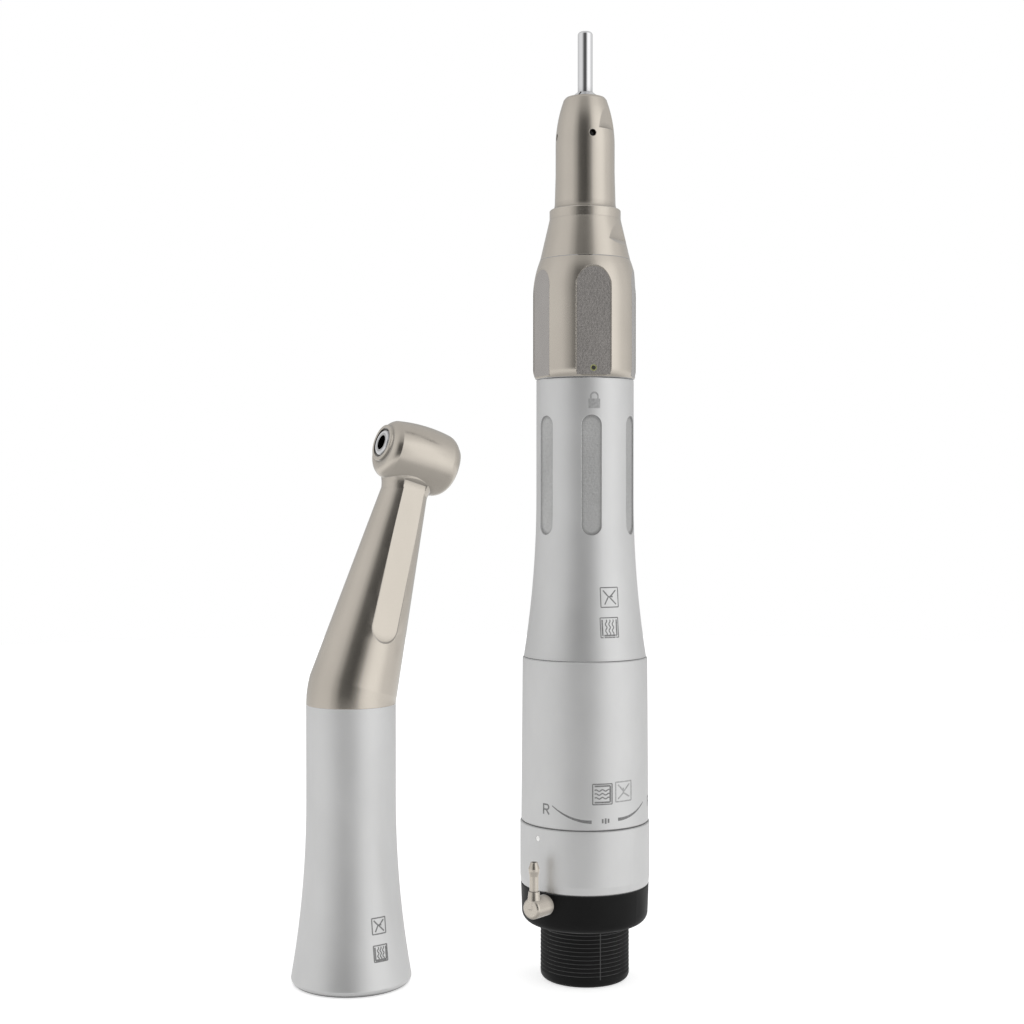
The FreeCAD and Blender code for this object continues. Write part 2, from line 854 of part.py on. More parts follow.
def spray_nipple():
    body = revolved("spray_nipple", [
        (D.nipple_bore_rad, 0),
        (D.nipple_rad, 0),
        (D.nipple_rad, D.barb_foot_z),
        (D.barb_rad, D.barb_low_z),
        (D.barb_rad, D.barb_high_z),
        (D.nipple_tip_rad, D.nipple_top_z),
        (D.nipple_bore_rad, D.nipple_top_z),
    ])
    place_at_nipple(body)


def place_at_nipple(body):
    """Stand a piece on the nipple's own axis, with its X pointing outward."""
    angle = math.radians(D.port_az.value)
    place(body, x=D.nipple_x * math.sin(angle), y=D.nipple_x * -math.cos(angle), z=D.spray_z,
          turn=D.port_az - 90)


# --------------------------------------------------------------------------------------
# Motor: direction valve
# --------------------------------------------------------------------------------------
def valve_housing():
    """Air manifold with a centre post and a detent bore at its back."""
    body = revolved("valve_housing", [
        (0, D.cap_floor_z),
        (D.ring_bore_rad - D.running_gap, D.cap_floor_z),
        (D.ring_bore_rad - D.running_gap, D.housing_top_z),
        (D.post_rad, D.housing_top_z),
        (D.post_rad, D.post_top_z),
        (0, D.post_top_z),
    ])
    angle = math.radians(D.port_az.value)
    drill(body, "XY_Plane", D.valve_port_circle * -math.sin(angle),
          D.valve_port_circle * math.cos(angle), D.valve_port_rad, D.housing_top_z,
          D.housing_top_z - D.cap_floor_z)
    drill(body, "XZ_Plane", 0, D.detent_z, D.detent_bore_rad, -D.detent_bore_floor,
          D.detent_bore_floor + D.cut_margin)


def detent():
    ball = doc.addObject("Part::Sphere", "detent_ball")
    bind(ball, "Radius", D.detent_ball_rad)
    bind(ball, "Placement.Base.y", D.detent_ball_centre)
    bind(ball, "Placement.Base.z", D.detent_z)
    keep(ball, "detent_ball")
    spring = new_body("detent_spring")
    coil(spring, D.detent_coil_rad, D.detent_wire_rad, D.detent_wire_rad,
         D.detent_spring_length, D.detent_spring_pitch)
    place(spring, y=D.detent_bore_floor, z=D.detent_z, turn=-90, about=(1, 0, 0))


def direction_ring():
    body = revolved("direction_ring", [
        (D.ring_bore_rad, D.ring_bottom_z),
        (D.ring_low_rad - D.edge_break, D.ring_bottom_z),
        (D.ring_low_rad, D.ring_bottom_z + D.edge_break),
        (D.ring_rad, D.ring_step_z),
        (D.ring_rad, D.ring_top_z - D.edge_break),
        (D.ring_rad - D.edge_break, D.ring_top_z),
        (D.ring_bore_rad, D.ring_top_z),
    ])
    revolve(body, ring_points(
        D.ring_bore_rad - D.cut_margin, D.detent_groove_rad,
        D.detent_z - D.detent_groove_half, D.detent_z + D.detent_groove_half), kind="Groove")
    drill(body, "XZ_Plane", 0, D.key_z, D.key_rad, D.key_inner, D.key_outer - D.key_inner,
          reverse=True)
    drill(body, "XZ_Plane", 0, D.index_dot_z, D.index_dot_rad,
          D.ring_rad - D.index_dot_depth, D.cut_margin, reverse=True)
    place(body, turn=D.index_dot_az)


def valve_plate():
    """The plate that the ring turns over the air ports, held to it by a key."""
    body = revolved("valve_plate", ring_points(
        D.post_rad + D.running_gap, D.valve_rad, D.valve_bottom_z, D.valve_top_z))
    port = drill(body, "XY_Plane", D.valve_port_circle, 0, D.valve_port_rad, D.valve_top_z,
                 D.cut_reach)
    ring_of(body, port, 2)
    drill(body, "XZ_Plane", 0, D.key_z, D.key_rad, D.key_inner, D.cut_reach, reverse=True)
    place(body, turn=D.index_dot_az)
    key = new_body("ring_key")
    round_bar = new_sketch(key, "XZ_Plane", offset=D.key_inner)
    add_circle(round_bar, 0, D.key_z, D.key_rad)
    extrude(key, "Pad", round_bar, D.key_outer - D.key_inner)
    place(key, turn=D.index_dot_az)


# --------------------------------------------------------------------------------------
# Motor: air motor and nose
# --------------------------------------------------------------------------------------
def motor_sleeve():
    revolved("motor_sleeve", [
        (D.sleeve_bore_rad, D.sleeve_bottom_z),
        (D.sleeve_low_rad - D.edge_break, D.sleeve_bottom_z),
        (D.sleeve_low_rad, D.sleeve_bottom_z + D.edge_break),
        (D.sleeve_high_rad, D.sleeve_top_z - D.edge_break),
        (D.sleeve_high_rad - D.edge_break, D.sleeve_top_z),
        (D.sleeve_bore_rad, D.sleeve_top_z),
    ])


def rear_plate():
    body = revolved("rear_plate", [
        (D.post_rad, D.rear_plate_bottom_z),
        (D.ring_bore_rad - D.running_gap, D.rear_plate_bottom_z),
        (D.ring_bore_rad - D.running_gap, D.sleeve_bottom_z),
        (D.sleeve_bore_rad, D.sleeve_bottom_z),
        (D.sleeve_bore_rad, D.rear_plate_top_z),
        (D.motor_seat, D.rear_plate_top_z),
        (D.motor_seat, D.rear_web_z),
        (0, D.rear_web_z),
        (0, D.post_top_z),
        (D.post_rad, D.post_top_z),
    ])
    port = drill(body, "XY_Plane", D.vent_circle, 0, D.vent_rad, D.rear_plate_top_z,
                 D.cut_reach + D.cut_margin)
    ring_of(body, port, 2)


def stator_liner():
    """The bore stands off centre, which makes the crescent that drives the vanes."""
    body = revolved("stator_liner", ring_points(
        0, D.sleeve_bore_rad, D.rear_plate_top_z, D.front_plate_bottom_z))
    drill(body, "XY_Plane", D.stator_offset, 0, D.stator_bore_rad, D.front_plate_bottom_z,
          D.front_plate_bottom_z - D.rear_plate_top_z)


def front_plate():
    body = revolved("front_plate", [
        (D.plate_hole_rad, D.front_plate_bottom_z),
        (D.sleeve_bore_rad, D.front_plate_bottom_z),
        (D.sleeve_bore_rad, D.front_plate_top_z),
        (D.motor_seat, D.front_plate_top_z),
        (D.motor_seat, D.front_web_z),
        (D.plate_hole_rad, D.front_web_z),
    ])
    port = drill(body, "XY_Plane", D.vent_circle, 0, D.vent_rad, D.front_plate_top_z,
                 D.cut_reach + D.cut_margin)
    ring_of(body, port, 2)


def motor_nose():
    """Flange, seat and tube that any handpiece of this coupling pushes on to."""
    clip_top = D.clip_bottom_z + D.clip_height
    body = revolved("motor_nose", [
        (D.nose_bore_rad, D.front_plate_top_z),
        (D.sleeve_bore_rad, D.front_plate_top_z),
        (D.sleeve_bore_rad, D.sleeve_top_z),
        (D.nose_base_rad, D.sleeve_top_z),
        (D.nose_base_rad, D.nose_base_top_z - D.nose_round),
        (D.nose_base_rad - D.nose_round, D.nose_base_top_z, D.nose_round),
        (D.nose_tube_rad, D.nose_base_top_z),
        (D.nose_tube_rad, D.nose_tube_top_z - D.nose_round),
        (D.nose_tube_rad - D.nose_round, D.nose_tube_top_z, D.nose_round),
        (D.nose_bore_rad, D.nose_tube_top_z),
    ])
    grooves = [ring_points(
        D.clip_inner_rad - D.running_gap, D.nose_tube_rad + D.cut_margin,
        D.clip_bottom_z - D.running_gap, clip_top + D.running_gap)]
    for level in (D.o_ring_low_z, D.o_ring_high_z):
        grooves.append(ring_points(
            D.o_ring_groove_rad, D.nose_tube_rad + D.cut_margin,
            level - D.o_ring_groove_half, level + D.o_ring_groove_half))
    revolve(body, *grooves, kind="Groove")


def nose_o_rings():
    rings = []
    for level in (D.o_ring_low_z, D.o_ring_high_z):
        ring = doc.addObject("Part::Torus", "o_ring")
        bind(ring, "Radius1", D.o_ring_rad)
        bind(ring, "Radius2", D.o_ring_section_rad)
        bind(ring, "Placement.Base.z", level)
        rings.append(ring)
    keep(group("nose_o_rings", rings), "nose_o_rings")


def retaining_clip():
    revolved("retaining_clip", ring_points(
        D.clip_inner_rad, D.clip_outer_rad, D.clip_bottom_z, D.clip_bottom_z + D.clip_height))


def rotor():
    body = revolved("rotor", [
        (0, D.shaft_bottom_z),
        (D.shaft_rad, D.shaft_bottom_z),
        (D.shaft_rad, D.rotor_bottom_z),
        (D.rotor_rad, D.rotor_bottom_z),
        (D.rotor_rad, D.rotor_top_z),
        (D.shaft_rad, D.rotor_top_z),
        (D.shaft_rad, D.shaft_top_z),
        (0, D.shaft_top_z),
    ])
    half = D.vane_slot_width / 2
    sketch = new_sketch(body, "XY_Plane", offset=D.rotor_top_z)
    add_outline(sketch, box_points(D.vane_slot_floor, -half, D.rotor_rad + D.cut_margin, half))
    slot = extrude(body, "Pocket", sketch, D.rotor_top_z - D.rotor_bottom_z)
    ring_of(body, slot, D.vane_count)


def vanes():
    """Sliding vanes, drawn back in their slots."""
    body = new_body("vanes")
    half = D.vane_width / 2
    low = D.rotor_bottom_z + D.vane_margin
    sketch = new_sketch(body, "XY_Plane", offset=low)
    add_outline(sketch, box_points(D.vane_inner, -half, D.vane_outer, half))
    vane = extrude(body, "Pad", sketch, D.rotor_top_z - D.vane_margin - low)
    ring_of(body, vane, D.vane_count)


def drive_fork():
    """The slotted driver on the rotor shaft."""
    body = revolved("drive_fork", [
        (D.shaft_rad, D.fork_bottom_z),
        (D.fork_rad, D.fork_bottom_z),
        (D.fork_rad, D.fork_top_z),
        (0, D.fork_top_z),
        (0, D.shaft_top_z),
        (D.shaft_rad, D.shaft_top_z),
    ])
    half = D.fork_slot_width / 2
    sketch = new_sketch(body, "YZ_Plane")
    add_outline(sketch, box_points(-half, D.fork_slot_z, half, D.fork_top_z + D.cut_margin))
    extrude(body, "Pocket", sketch, D.fork_rad * 3, midplane=True)


# --------------------------------------------------------------------------------------
# Straight handpiece
# --------------------------------------------------------------------------------------
def straight_sheath():
    body = revolved("straight_sheath", [
        (D.sheath_wide_bore_rad, D.sheath_bottom_z),
        (D.sheath_foot_rad, D.sheath_bottom_z),
        (D.sheath_rad, D.sheath_flare_top_z, -D.sheath_flare_round),
        (D.sheath_rad, D.sheath_top_z - D.edge_break),
        (D.sheath_rad - D.edge_break, D.sheath_top_z),
        (D.sheath_bore_rad, D.sheath_top_z),
        (D.sheath_bore_rad, D.sheath_step_z),
        (D.sheath_wide_bore_rad, D.sheath_step_z),
    ])
    half = D.grip_width / 2
    sketch = new_sketch(body, "XZ_Plane", offset=D.grip_floor)
    add_outline(sketch, slot_points(half, D.grip_bottom_z, D.grip_top_z, D.grip_corner))
    flat = extrude(body, "Pocket", sketch, D.cut_reach, reverse=True)
    ring_of(body, flat, D.grip_count)
    place(body, turn=D.grip_az)


def coupling_sleeve():
    """The socket that slides over the motor nose and its clip."""
    body = revolved("coupling_sleeve", [
        (D.coupling_wide_bore_rad, D.sheath_bottom_z),
        (D.sheath_wide_bore_rad, D.sheath_bottom_z),
        (D.sheath_wide_bore_rad, D.sheath_step_z),
        (D.sheath_bore_rad, D.sheath_step_z),
        (D.sheath_bore_rad, D.coupling_top_z),
        (D.coupling_bore_rad, D.coupling_top_z),
        (D.coupling_bore_rad, D.coupling_wide_top_z),
        (D.coupling_wide_bore_rad, D.coupling_wide_top_z),
    ])
    middle = D.clip_bottom_z + D.clip_height / 2
    revolve(body, ring_points(
        D.coupling_bore_rad - D.cut_margin, D.clip_groove_rad,
        middle - D.clip_groove_half, middle + D.clip_groove_half), kind="Groove")


def inner_barrel():
    revolved("inner_barrel", [
        (D.barrel_lip_rad, D.coupling_top_z),
        (D.sheath_bore_rad, D.coupling_top_z),
        (D.sheath_bore_rad, D.barrel_top_z),
        (D.barrel_bore_rad, D.barrel_top_z),
        (D.barrel_bore_rad, D.barrel_seat_top_z),
        (D.spindle_seat, D.barrel_seat_top_z),
        (D.spindle_seat, D.barrel_lip_z),
        (D.barrel_lip_rad, D.barrel_lip_z),
    ])


def lock_ring():
    body = revolved("lock_ring", [
        (D.lock_bore_rad, D.lock_bottom_z),
        (D.lock_foot_rad, D.lock_bottom_z),
        (D.lock_rad, D.lock_bottom_z + D.lock_foot_round, D.lock_foot_round * 2),
        (D.lock_rad, D.lock_crown_z),
        (D.lock_crown_rad, D.lock_top_z, D.lock_crown_round),
        (D.lock_bore_rad, D.lock_top_z),
    ])
    half = D.lock_flat_width / 2
    bottom = D.lock_bottom_z - D.seam_gap
    sketch = new_sketch(body, "XZ_Plane", offset=D.lock_flat_floor)
    add_outline(sketch, [
        (half, bottom),
        (half, D.lock_flat_top_z - half),
        (0, D.lock_flat_top_z, half),
        (-half, D.lock_flat_top_z - half, half),
        (-half, bottom),
    ])
    flat = extrude(body, "Pocket", sketch, D.cut_reach, reverse=True)
    ring_of(body, flat, D.lock_flat_count)
    drill(body, "XZ_Plane", 0, D.lock_dimple_z, D.lock_dimple_rad,
          D.lock_flat_floor - D.lock_dimple_depth, D.cut_reach, reverse=True)
    for side in (0, 180):
        cam_slot(body, side)
    place(body, turn=D.lock_az)


def cam_slot(body, side):
    """A helical slot in the bore that lifts a pin as the ring turns."""
    sweep = D.lock_turn + D.cam_slot_margin * 2
    rise = D.release_travel / D.lock_turn
    middle = D.cam_pin_z - rise * D.cam_slot_margin
    sketch = new_sketch(body, "XZ_Plane")
    outer = D.cam_slot_rad if side == 0 else -D.cam_slot_rad
    inner = D.lock_bore_rad - D.cut_margin if side == 0 else D.cut_margin - D.lock_bore_rad
    add_outline(sketch, box_points(
        inner, middle - D.cam_slot_half, outer, middle + D.cam_slot_half))
    wound = feature(body, "SubtractiveHelix", sketch)
    wound.ReferenceAxis = (sketch, ["V_Axis"])
    wound.Mode = "pitch-height-angle"
    bind(wound, "Pitch", rise * 360)
    bind(wound, "Height", rise * sweep)
    wound.LeftHanded = True
    return wound


def release_sleeve():
    body = revolved("release_sleeve", ring_points(
        D.release_bore_rad, D.release_rad, D.release_bottom_z, D.release_top_z))
    hole = drill(body, "YZ_Plane", 0, D.cam_pin_z, D.cam_pin_rad, D.cam_pin_inner, D.cut_reach,
                 reverse=True)
    ring_of(body, hole, 2)
    pins = new_body("cam_pins")
    sketch = new_sketch(pins, "YZ_Plane", offset=D.cam_pin_inner)
    add_circle(sketch, 0, D.cam_pin_z, D.cam_pin_rad)
    pin = extrude(pins, "Pad", sketch, D.cam_pin_outer - D.cam_pin_inner)
    ring_of(pins, pin, 2)
    for thing in (body, pins):
        place(thing, turn=D.lock_az - D.cam_slot_margin)


def wrench_flats(body, flat, outline):
    """Two opposite flats cut square to the front, whatever their outline."""
    sketch = new_sketch(body, "YZ_Plane")
    add_outline(sketch, outline)
    cut = extrude(body, "Pocket", sketch, flat * 4, midplane=True)
    ring_of(body, cut, 2)


def front_cone():
    body = revolved("front_cone", [
        (D.tip_spigot_rad, D.cone_bottom_z),
        (D.cone_foot_rad, D.cone_bottom_z),
        (D.cone_top_rad, D.cone_top_z),
        (D.collar_rad, D.cone_top_z),
        (D.collar_rad, D.collar_top_z - D.edge_break),
        (D.collar_rad - D.edge_break, D.collar_top_z),
        (D.tip_spigot_rad, D.collar_top_z),
    ])
    ledge = D.cut_reach / 2
    wrench_flats(body, D.cone_flat, [
        (-D.cone_flat, D.cone_flat_ledge_z),
        (-D.cone_flat, D.collar_top_z + D.cut_margin),
        (-D.cone_flat - ledge, D.collar_top_z + D.cut_margin),
        (-D.cone_flat - ledge, D.cone_flat_ledge_z - ledge),
    ])
    place(body, turn=D.flat_az)


def nose_piece():
    body = revolved("nose_piece", [
        (D.tip_bore_rad, D.tip_spigot_z),
        (D.tip_spigot_rad, D.tip_spigot_z),
        (D.tip_spigot_rad, D.collar_top_z),
        (D.tip_root_rad, D.collar_top_z),
        (D.tip_neck_rad, D.tip_neck_z, -D.tip_root_round * 2),
        (D.tip_rad, D.tip_straight_z),
        (D.tip_rad, D.tip_curve_z),
        (D.tip_end_rad, D.tip_end_z, D.tip_curve_round),
        (D.tip_face_rad, D.tip_face_z),
        (D.tip_hole_rad, D.tip_face_z),
        (D.tip_hole_rad, D.tip_cavity_top_z),
        (D.tip_cavity_rad, D.tip_cavity_top_z),
        (D.tip_cavity_rad, D.tip_bore_top_z),
        (D.tip_bore_rad, D.tip_bore_top_z),
    ])
    wrench_flats(body, D.tip_flat, [
        (-D.tip_flat, D.tip_flat_ledge_z),
        (-D.tip_flat, D.tip_face_z + D.cut_margin),
        (-D.tip_flat - D.cut_reach, D.tip_face_z + D.cut_margin),
        (-D.tip_flat - D.cut_reach, D.tip_flat_ledge_z),
    ])
    place(body, turn=D.flat_az)
    sketch = new_sketch(body, "XZ_Plane", offset=D.tip_hole_rad, swing=45)
    add_circle(sketch, 0, D.vent_hole_z, D.vent_hole_rad)
    hole = extrude(body, "Pocket", sketch, D.cut_reach, reverse=True)
    ring_of(body, hole, 4)


def front_fittings():
    revolved("dust_seal", ring_points(
        D.seal_bore_rad, D.tip_cavity_rad, D.seal_bottom_z, D.tip_cavity_top_z))
    revolved("bearing_spacer", ring_points(
        D.spindle_race_out, D.spindle_seat,
        D.spindle_mid_bearing_z + D.spindle_race_width, D.spindle_front_bearing_z))


def spindle():
    body = revolved("spindle", [
        (0, D.spindle_bottom_z),
        (D.spindle_rad, D.spindle_bottom_z),
        (D.spindle_rad, D.spindle_top_z),
        (D.collet_bore_rad, D.spindle_top_z),
        (D.collet_bore_rad, D.collet_bore_z),
        (D.spindle_bore_rad, D.collet_bore_z),
        (D.spindle_bore_rad, D.spindle_bore_z),
        (0, D.spindle_bore_z),
    ])
    drive_tongue(body, D.tongue_bottom_z, D.spindle_bottom_z)


def drive_tongue(body, bottom, top):
    sketch = new_sketch(body, "XY_Plane", offset=bottom)
    half = D.tongue_width / 2
    add_outline(sketch, box_points(-D.tongue_reach, -half, D.tongue_reach, half))
    extrude(body, "Pad", sketch, top - bottom)


def collet():
    body = revolved("collet", [
        (D.collet_hole_rad, D.collet_bottom_z),
        (D.collet_rad, D.collet_bottom_z),
        (D.collet_rad, D.collet_lip_z),
        (D.collet_lip_rad, D.collet_top_z),
        (D.collet_hole_rad, D.collet_top_z),
    ])
    half = D.collet_slot_width / 2
    sketch = new_sketch(body, "XY_Plane", offset=D.collet_slot_z)
    add_outline(sketch, box_points(0, -half, D.collet_rad + D.cut_margin, half))
    slot = extrude(body, "Pocket", sketch, D.cut_reach * 2, reverse=True)
    ring_of(body, slot, D.collet_slot_count)
    spring = new_body("collet_spring")
    start = D.collet_bore_z + D.collet_spring_wire
    coil(spring, D.collet_spring_coil, D.collet_spring_wire, start,
         D.collet_bottom_z - D.collet_spring_wire - start, D.collet_spring_pitch)


def bur_blank():
    revolved("bur_blank", [
        (0, D.bur_bottom_z),
        (D.bur_rad, D.bur_bottom_z),
        (D.bur_rad, D.bur_top_z - D.bur_round),
        (D.bur_rad - D.bur_round, D.bur_top_z, D.bur_round),
        (0, D.bur_top_z),
    ])


# --------------------------------------------------------------------------------------
# Contra-angle: three frames, each with +Z along its own axis
# --------------------------------------------------------------------------------------
SHEATH_FRAME = FreeCAD.Placement(
    FreeCAD.Vector(D.contra_x.value, D.contra_y.value, 0),
    FreeCAD.Rotation(FreeCAD.Vector(0, 0, 1), D.contra_az.value))
NECK_FRAME = SHEATH_FRAME * FreeCAD.Placement(
    FreeCAD.Vector(0, 0, D.bend_z.value),
    FreeCAD.Rotation(FreeCAD.Vector(0, 1, 0), D.bend_angle.value))
HEAD_FRAME = NECK_FRAME * FreeCAD.Placement(
    FreeCAD.Vector(0, 0, D.neck_length.value),
    FreeCAD.Rotation(FreeCAD.Vector(0, 1, 0), -90))


def contra_sheath():
    body = revolved("contra_sheath", [
        (D.contra_foot_bore_rad, 0),
        (D.contra_foot_rad - D.contra_foot_round, 0),
        (D.contra_foot_rad, D.contra_foot_round, D.contra_foot_round),
        (D.contra_rad, D.contra_flare_top_z, -D.contra_flare_round),
        (D.contra_rad, D.contra_sheath_top_z),
        (D.contra_upper_bore_rad, D.contra_sheath_top_z),
        (D.contra_upper_bore_rad, D.contra_seat_z),
        (D.contra_bore_rad, D.contra_seat_z),
        (D.contra_bore_rad, D.contra_bore_step_z),
        (D.contra_foot_bore_rad, D.contra_bore_step_z),
    ])
    body.Placement = SHEATH_FRAME


def contra_coupling():
    """The socket for the motor nose, with a bearing seat at its inner end."""
    body = revolved("contra_coupling", [
        (D.socket_rad, D.socket_bottom_z),
        (D.contra_foot_bore_rad, D.socket_bottom_z),
        (D.contra_foot_bore_rad, D.contra_bore_step_z),
        (D.contra_bore_rad, D.contra_bore_step_z),
        (D.contra_bore_rad, D.contra_seat_z),
        (D.spindle_seat, D.contra_seat_z),
        (D.spindle_seat, D.socket_web_z),
        (D.socket_web_rad, D.socket_web_z),
        (D.socket_web_rad, D.socket_top_z),
        (D.socket_tube_rad, D.socket_top_z),
        (D.socket_tube_rad, D.socket_step_z),
        (D.socket_rad, D.socket_step_z),
    ])
    body.Placement = SHEATH_FRAME


def contra_neck():
    """Neck and head as one casting: spigot, round elbow, cone and bulbous head."""
    body = new_body("contra_neck")
    seam = D.contra_sheath_top_z - D.bend_z
    half_bend = math.radians(D.bend_angle.value / 2)
    elbow_end = D.bend_round * math.tan(half_bend)
    revolve(body, ring_points(
        0, D.contra_upper_bore_rad, D.neck_spigot_z - D.bend_z, seam), tilt=D.bend_angle)
    revolve(body, ring_points(0, D.contra_rad, seam, -elbow_end), tilt=D.bend_angle)
    section = new_sketch(body, "XY_Plane", offset=elbow_end)
    add_circle(section, 0, 0, D.contra_rad)
    add_axis(section, D.bend_round)
    elbow = feature(body, "Revolution", section)
    elbow.ReferenceAxis = (section, ["Axis0"])
    bind(elbow, "Angle", D.bend_angle)
    elbow.Reversed = True
    revolve(body, [
        (0, 0),
        (D.contra_rad, elbow_end),
        (D.neck_narrow_rad, D.neck_narrow_z),
        (D.neck_narrow_rad, D.neck_length),
        (0, D.neck_length),
    ])
    revolve(body, [
        (0, D.head_back_z),
        (D.head_back_rim_rad, D.head_back_z),
        (D.head_back_rad, D.head_shoulder_z, D.head_dome_round),
        (D.head_front_rad, D.head_front_edge_z, D.head_barrel_round),
        (D.head_nose_rad, D.head_face_bevel_z, D.head_front_round),
        (0, D.head_face_bevel_z),
    ], lift=D.neck_length - D.head_drop, tilt=90)
    head_foot(body)
    revolve(body, [
        (0, 0),
        (D.head_face_rad, 0),
        (D.head_face_rad, D.head_front_z - D.edge_break),
        (D.head_face_rad - D.edge_break, D.head_front_z, D.edge_break),
        (0, D.head_front_z),
    ], lift=D.neck_length, tilt=90)
    neck_flats(body, elbow_end)
    revolve(body, ring_points(
        0, D.neck_bore_rad, D.neck_spigot_z - D.bend_z - D.cut_margin, 0),
        kind="Groove", tilt=D.bend_angle)
    revolve(body, [
        (0, -D.neck_cavity_end),
        (D.neck_bore_rad, 0, D.neck_bore_rad),
        (D.neck_bore_rad, D.neck_cavity_end),
        (D.neck_seat, D.neck_cavity_end),
        (D.neck_seat, D.neck_length - D.head_drop),
        (0, D.neck_length - D.head_drop),
    ], kind="Groove")
    revolve(body, [
        (0, D.head_back_z - D.cut_margin),
        (D.head_bore_rad, D.head_back_z - D.cut_margin),
        (D.head_bore_rad, D.head_cavity_z),
        (D.head_seat, D.head_cavity_z),
        (D.head_seat, D.head_lip_z),
        (D.head_hole_rad, D.head_lip_z),
        (D.head_hole_rad, D.head_front_z + D.cut_margin),
        (0, D.head_front_z + D.cut_margin),
    ], kind="Groove", lift=D.neck_length, tilt=90)
    body.Placement = NECK_FRAME


def head_foot(body):
    """The flare that carries the round neck into the underside of the long head."""
    sections = []
    for level, along, beside in (
        (D.foot_low_z, D.foot_low_rad, D.foot_low_rad),
        (D.foot_middle_z, D.foot_middle_along, D.foot_low_rad),
        (D.foot_high_z, D.foot_high_along, D.foot_high_beside),
    ):
        sketch = new_sketch(body, "XY_Plane", offset=level)
        add_ellipse(sketch, along, beside)
        sections.append(sketch)
    flare = feature(body, "AdditiveLoft", sections[0])
    flare.Sections = sections[1:]


def neck_flats(body, cone_start):
    """A long shallow flat on each side of the neck, its floor along the cone."""
    run = D.neck_narrow_z - cone_start
    slope = (D.contra_rad - D.neck_narrow_rad) / run
    floor = D.contra_rad + slope * cone_start - D.neck_flat_depth
    lean = -math.degrees(math.atan(slope.value))
    low_half = D.neck_flat_low_width / 2
    high_half = D.neck_flat_high_width / 2
    sketch = new_sketch(body, "XZ_Plane", offset=floor, lean=lean)
    add_outline(sketch, [
        (low_half, D.neck_flat_low_z + low_half, low_half),
        (high_half, D.neck_flat_high_z),
        (-high_half, D.neck_flat_high_z),
        (-low_half, D.neck_flat_low_z + low_half),
        (0, D.neck_flat_low_z, low_half),
    ])
    flat = extrude(body, "Pocket", sketch, D.cut_reach, reverse=True)
    bind(flat, "TaperAngle", D.neck_flat_draft)
    ring_of(body, flat, 2)


def contra_drive_shaft():
    body = revolved("contra_drive_shaft", [
        (0, D.contra_shaft_z),
        (D.spindle_rad, D.contra_shaft_z),
        (D.spindle_rad, D.contra_shaft_top_z),
        (0, D.contra_shaft_top_z),
    ])
    drive_tongue(body, D.contra_tongue_z, D.contra_shaft_z)
    body.Placement = SHEATH_FRAME


def contra_neck_shaft():
    body = revolved("contra_neck_shaft", ring_points(
        0, D.neck_shaft_rad, D.neck_shaft_low_z, D.neck_shaft_high_z))
    body.Placement = NECK_FRAME


def bevel_gear(node, pitch_rad, face, cone_angle, back, bore, frame, turn):
    """A straight bevel gear.  Its apex is the origin and its teeth face up."""
    body = new_body(node)
    cone = math.radians(cone_angle)
    sine = math.sin(cone)
    cosine = math.cos(cone)
    reach = pitch_rad / sine
    inner = reach - face
    root = D.tooth_fall - D.tooth_sink

    def foot(along, fall):
        """A point at a distance along the pitch line and a fall behind it."""
        return (along * sine - fall * cosine, -(along * cosine) - fall * sine)

    revolve(body, [
        (bore, inner * -cosine - root * sine),
        foot(inner, root),
        foot(reach, root),
        (reach * sine, -back),
        (bore, -back),
    ])
    step = 360 / D.tooth_count.value
    width = (2 * math.pi * pitch_rad / D.tooth_count - D.tooth_backlash) / 2
    sections = []
    for along in (reach, inner):
        scale = along / reach
        sketch = body.newObject("Sketcher::SketchObject", "tooth")
        sketch.AttachmentSupport = (origin_part(body, "XZ_Plane"), "")
        sketch.MapMode = "FlatFace"
        away = along.value
        centre = FreeCAD.Vector(away * sine, -away * cosine, 0)
        normal_turn = FreeCAD.Rotation(FreeCAD.Vector(0, 0, 1), cone_angle)
        stand = FreeCAD.Rotation(FreeCAD.Vector(1, 0, 0), 90)
        sketch.AttachmentOffset = FreeCAD.Placement(centre, normal_turn * stand)
        top = (width / 2 - D.tooth_rise * D.tooth_lean) * scale
        foot_half = (width / 2 + D.tooth_fall * D.tooth_lean) * scale
        add_outline(sketch, [
            (-D.tooth_fall * scale, -foot_half),
            (D.tooth_rise * scale, -top),
            (D.tooth_rise * scale, top),
            (-D.tooth_fall * scale, foot_half),
        ])
        sections.append(sketch)
    tooth = feature(body, "AdditiveLoft", sections[0])
    tooth.Sections = [sections[1]]
    tooth.Ruled = True
    ring_of(body, tooth, D.tooth_count)
    phase = FreeCAD.Rotation(FreeCAD.Vector(0, 0, 1), turn * step)
    body.Placement = frame * FreeCAD.Placement(FreeCAD.Vector(), phase)


def contra_gears():
    flip = FreeCAD.Placement(FreeCAD.Vector(), FreeCAD.Rotation(FreeCAD.Vector(1, 0, 0), 180))
    half_bend = D.bend_angle.value / 2
    bend = SHEATH_FRAME * FreeCAD.Placement(
        FreeCAD.Vector(0, 0, D.bend_z.value), FreeCAD.Rotation())
    head = NECK_FRAME * FreeCAD.Placement(
        FreeCAD.Vector(0, 0, D.neck_length.value), FreeCAD.Rotation())
    bevel_gear("contra_drive_gear", D.bend_pitch_rad, D.bend_face, 90 - half_bend,
               D.bend_z - D.contra_shaft_top_z, 0, bend, 0)
    bevel_gear("contra_bend_gear", D.bend_pitch_rad, D.bend_face, 90 - half_bend,
               D.bend_gear_back, D.neck_shaft_rad, NECK_FRAME * flip, 0.5)
    bevel_gear("contra_pinion", D.head_pitch_rad, D.head_face, 45,
               D.pinion_back, 0, head, 0)
    bevel_gear("contra_head_gear", D.head_pitch_rad, D.head_face, 45,
               D.head_gear_back, D.head_tube_rad, HEAD_FRAME * flip, 0.5)


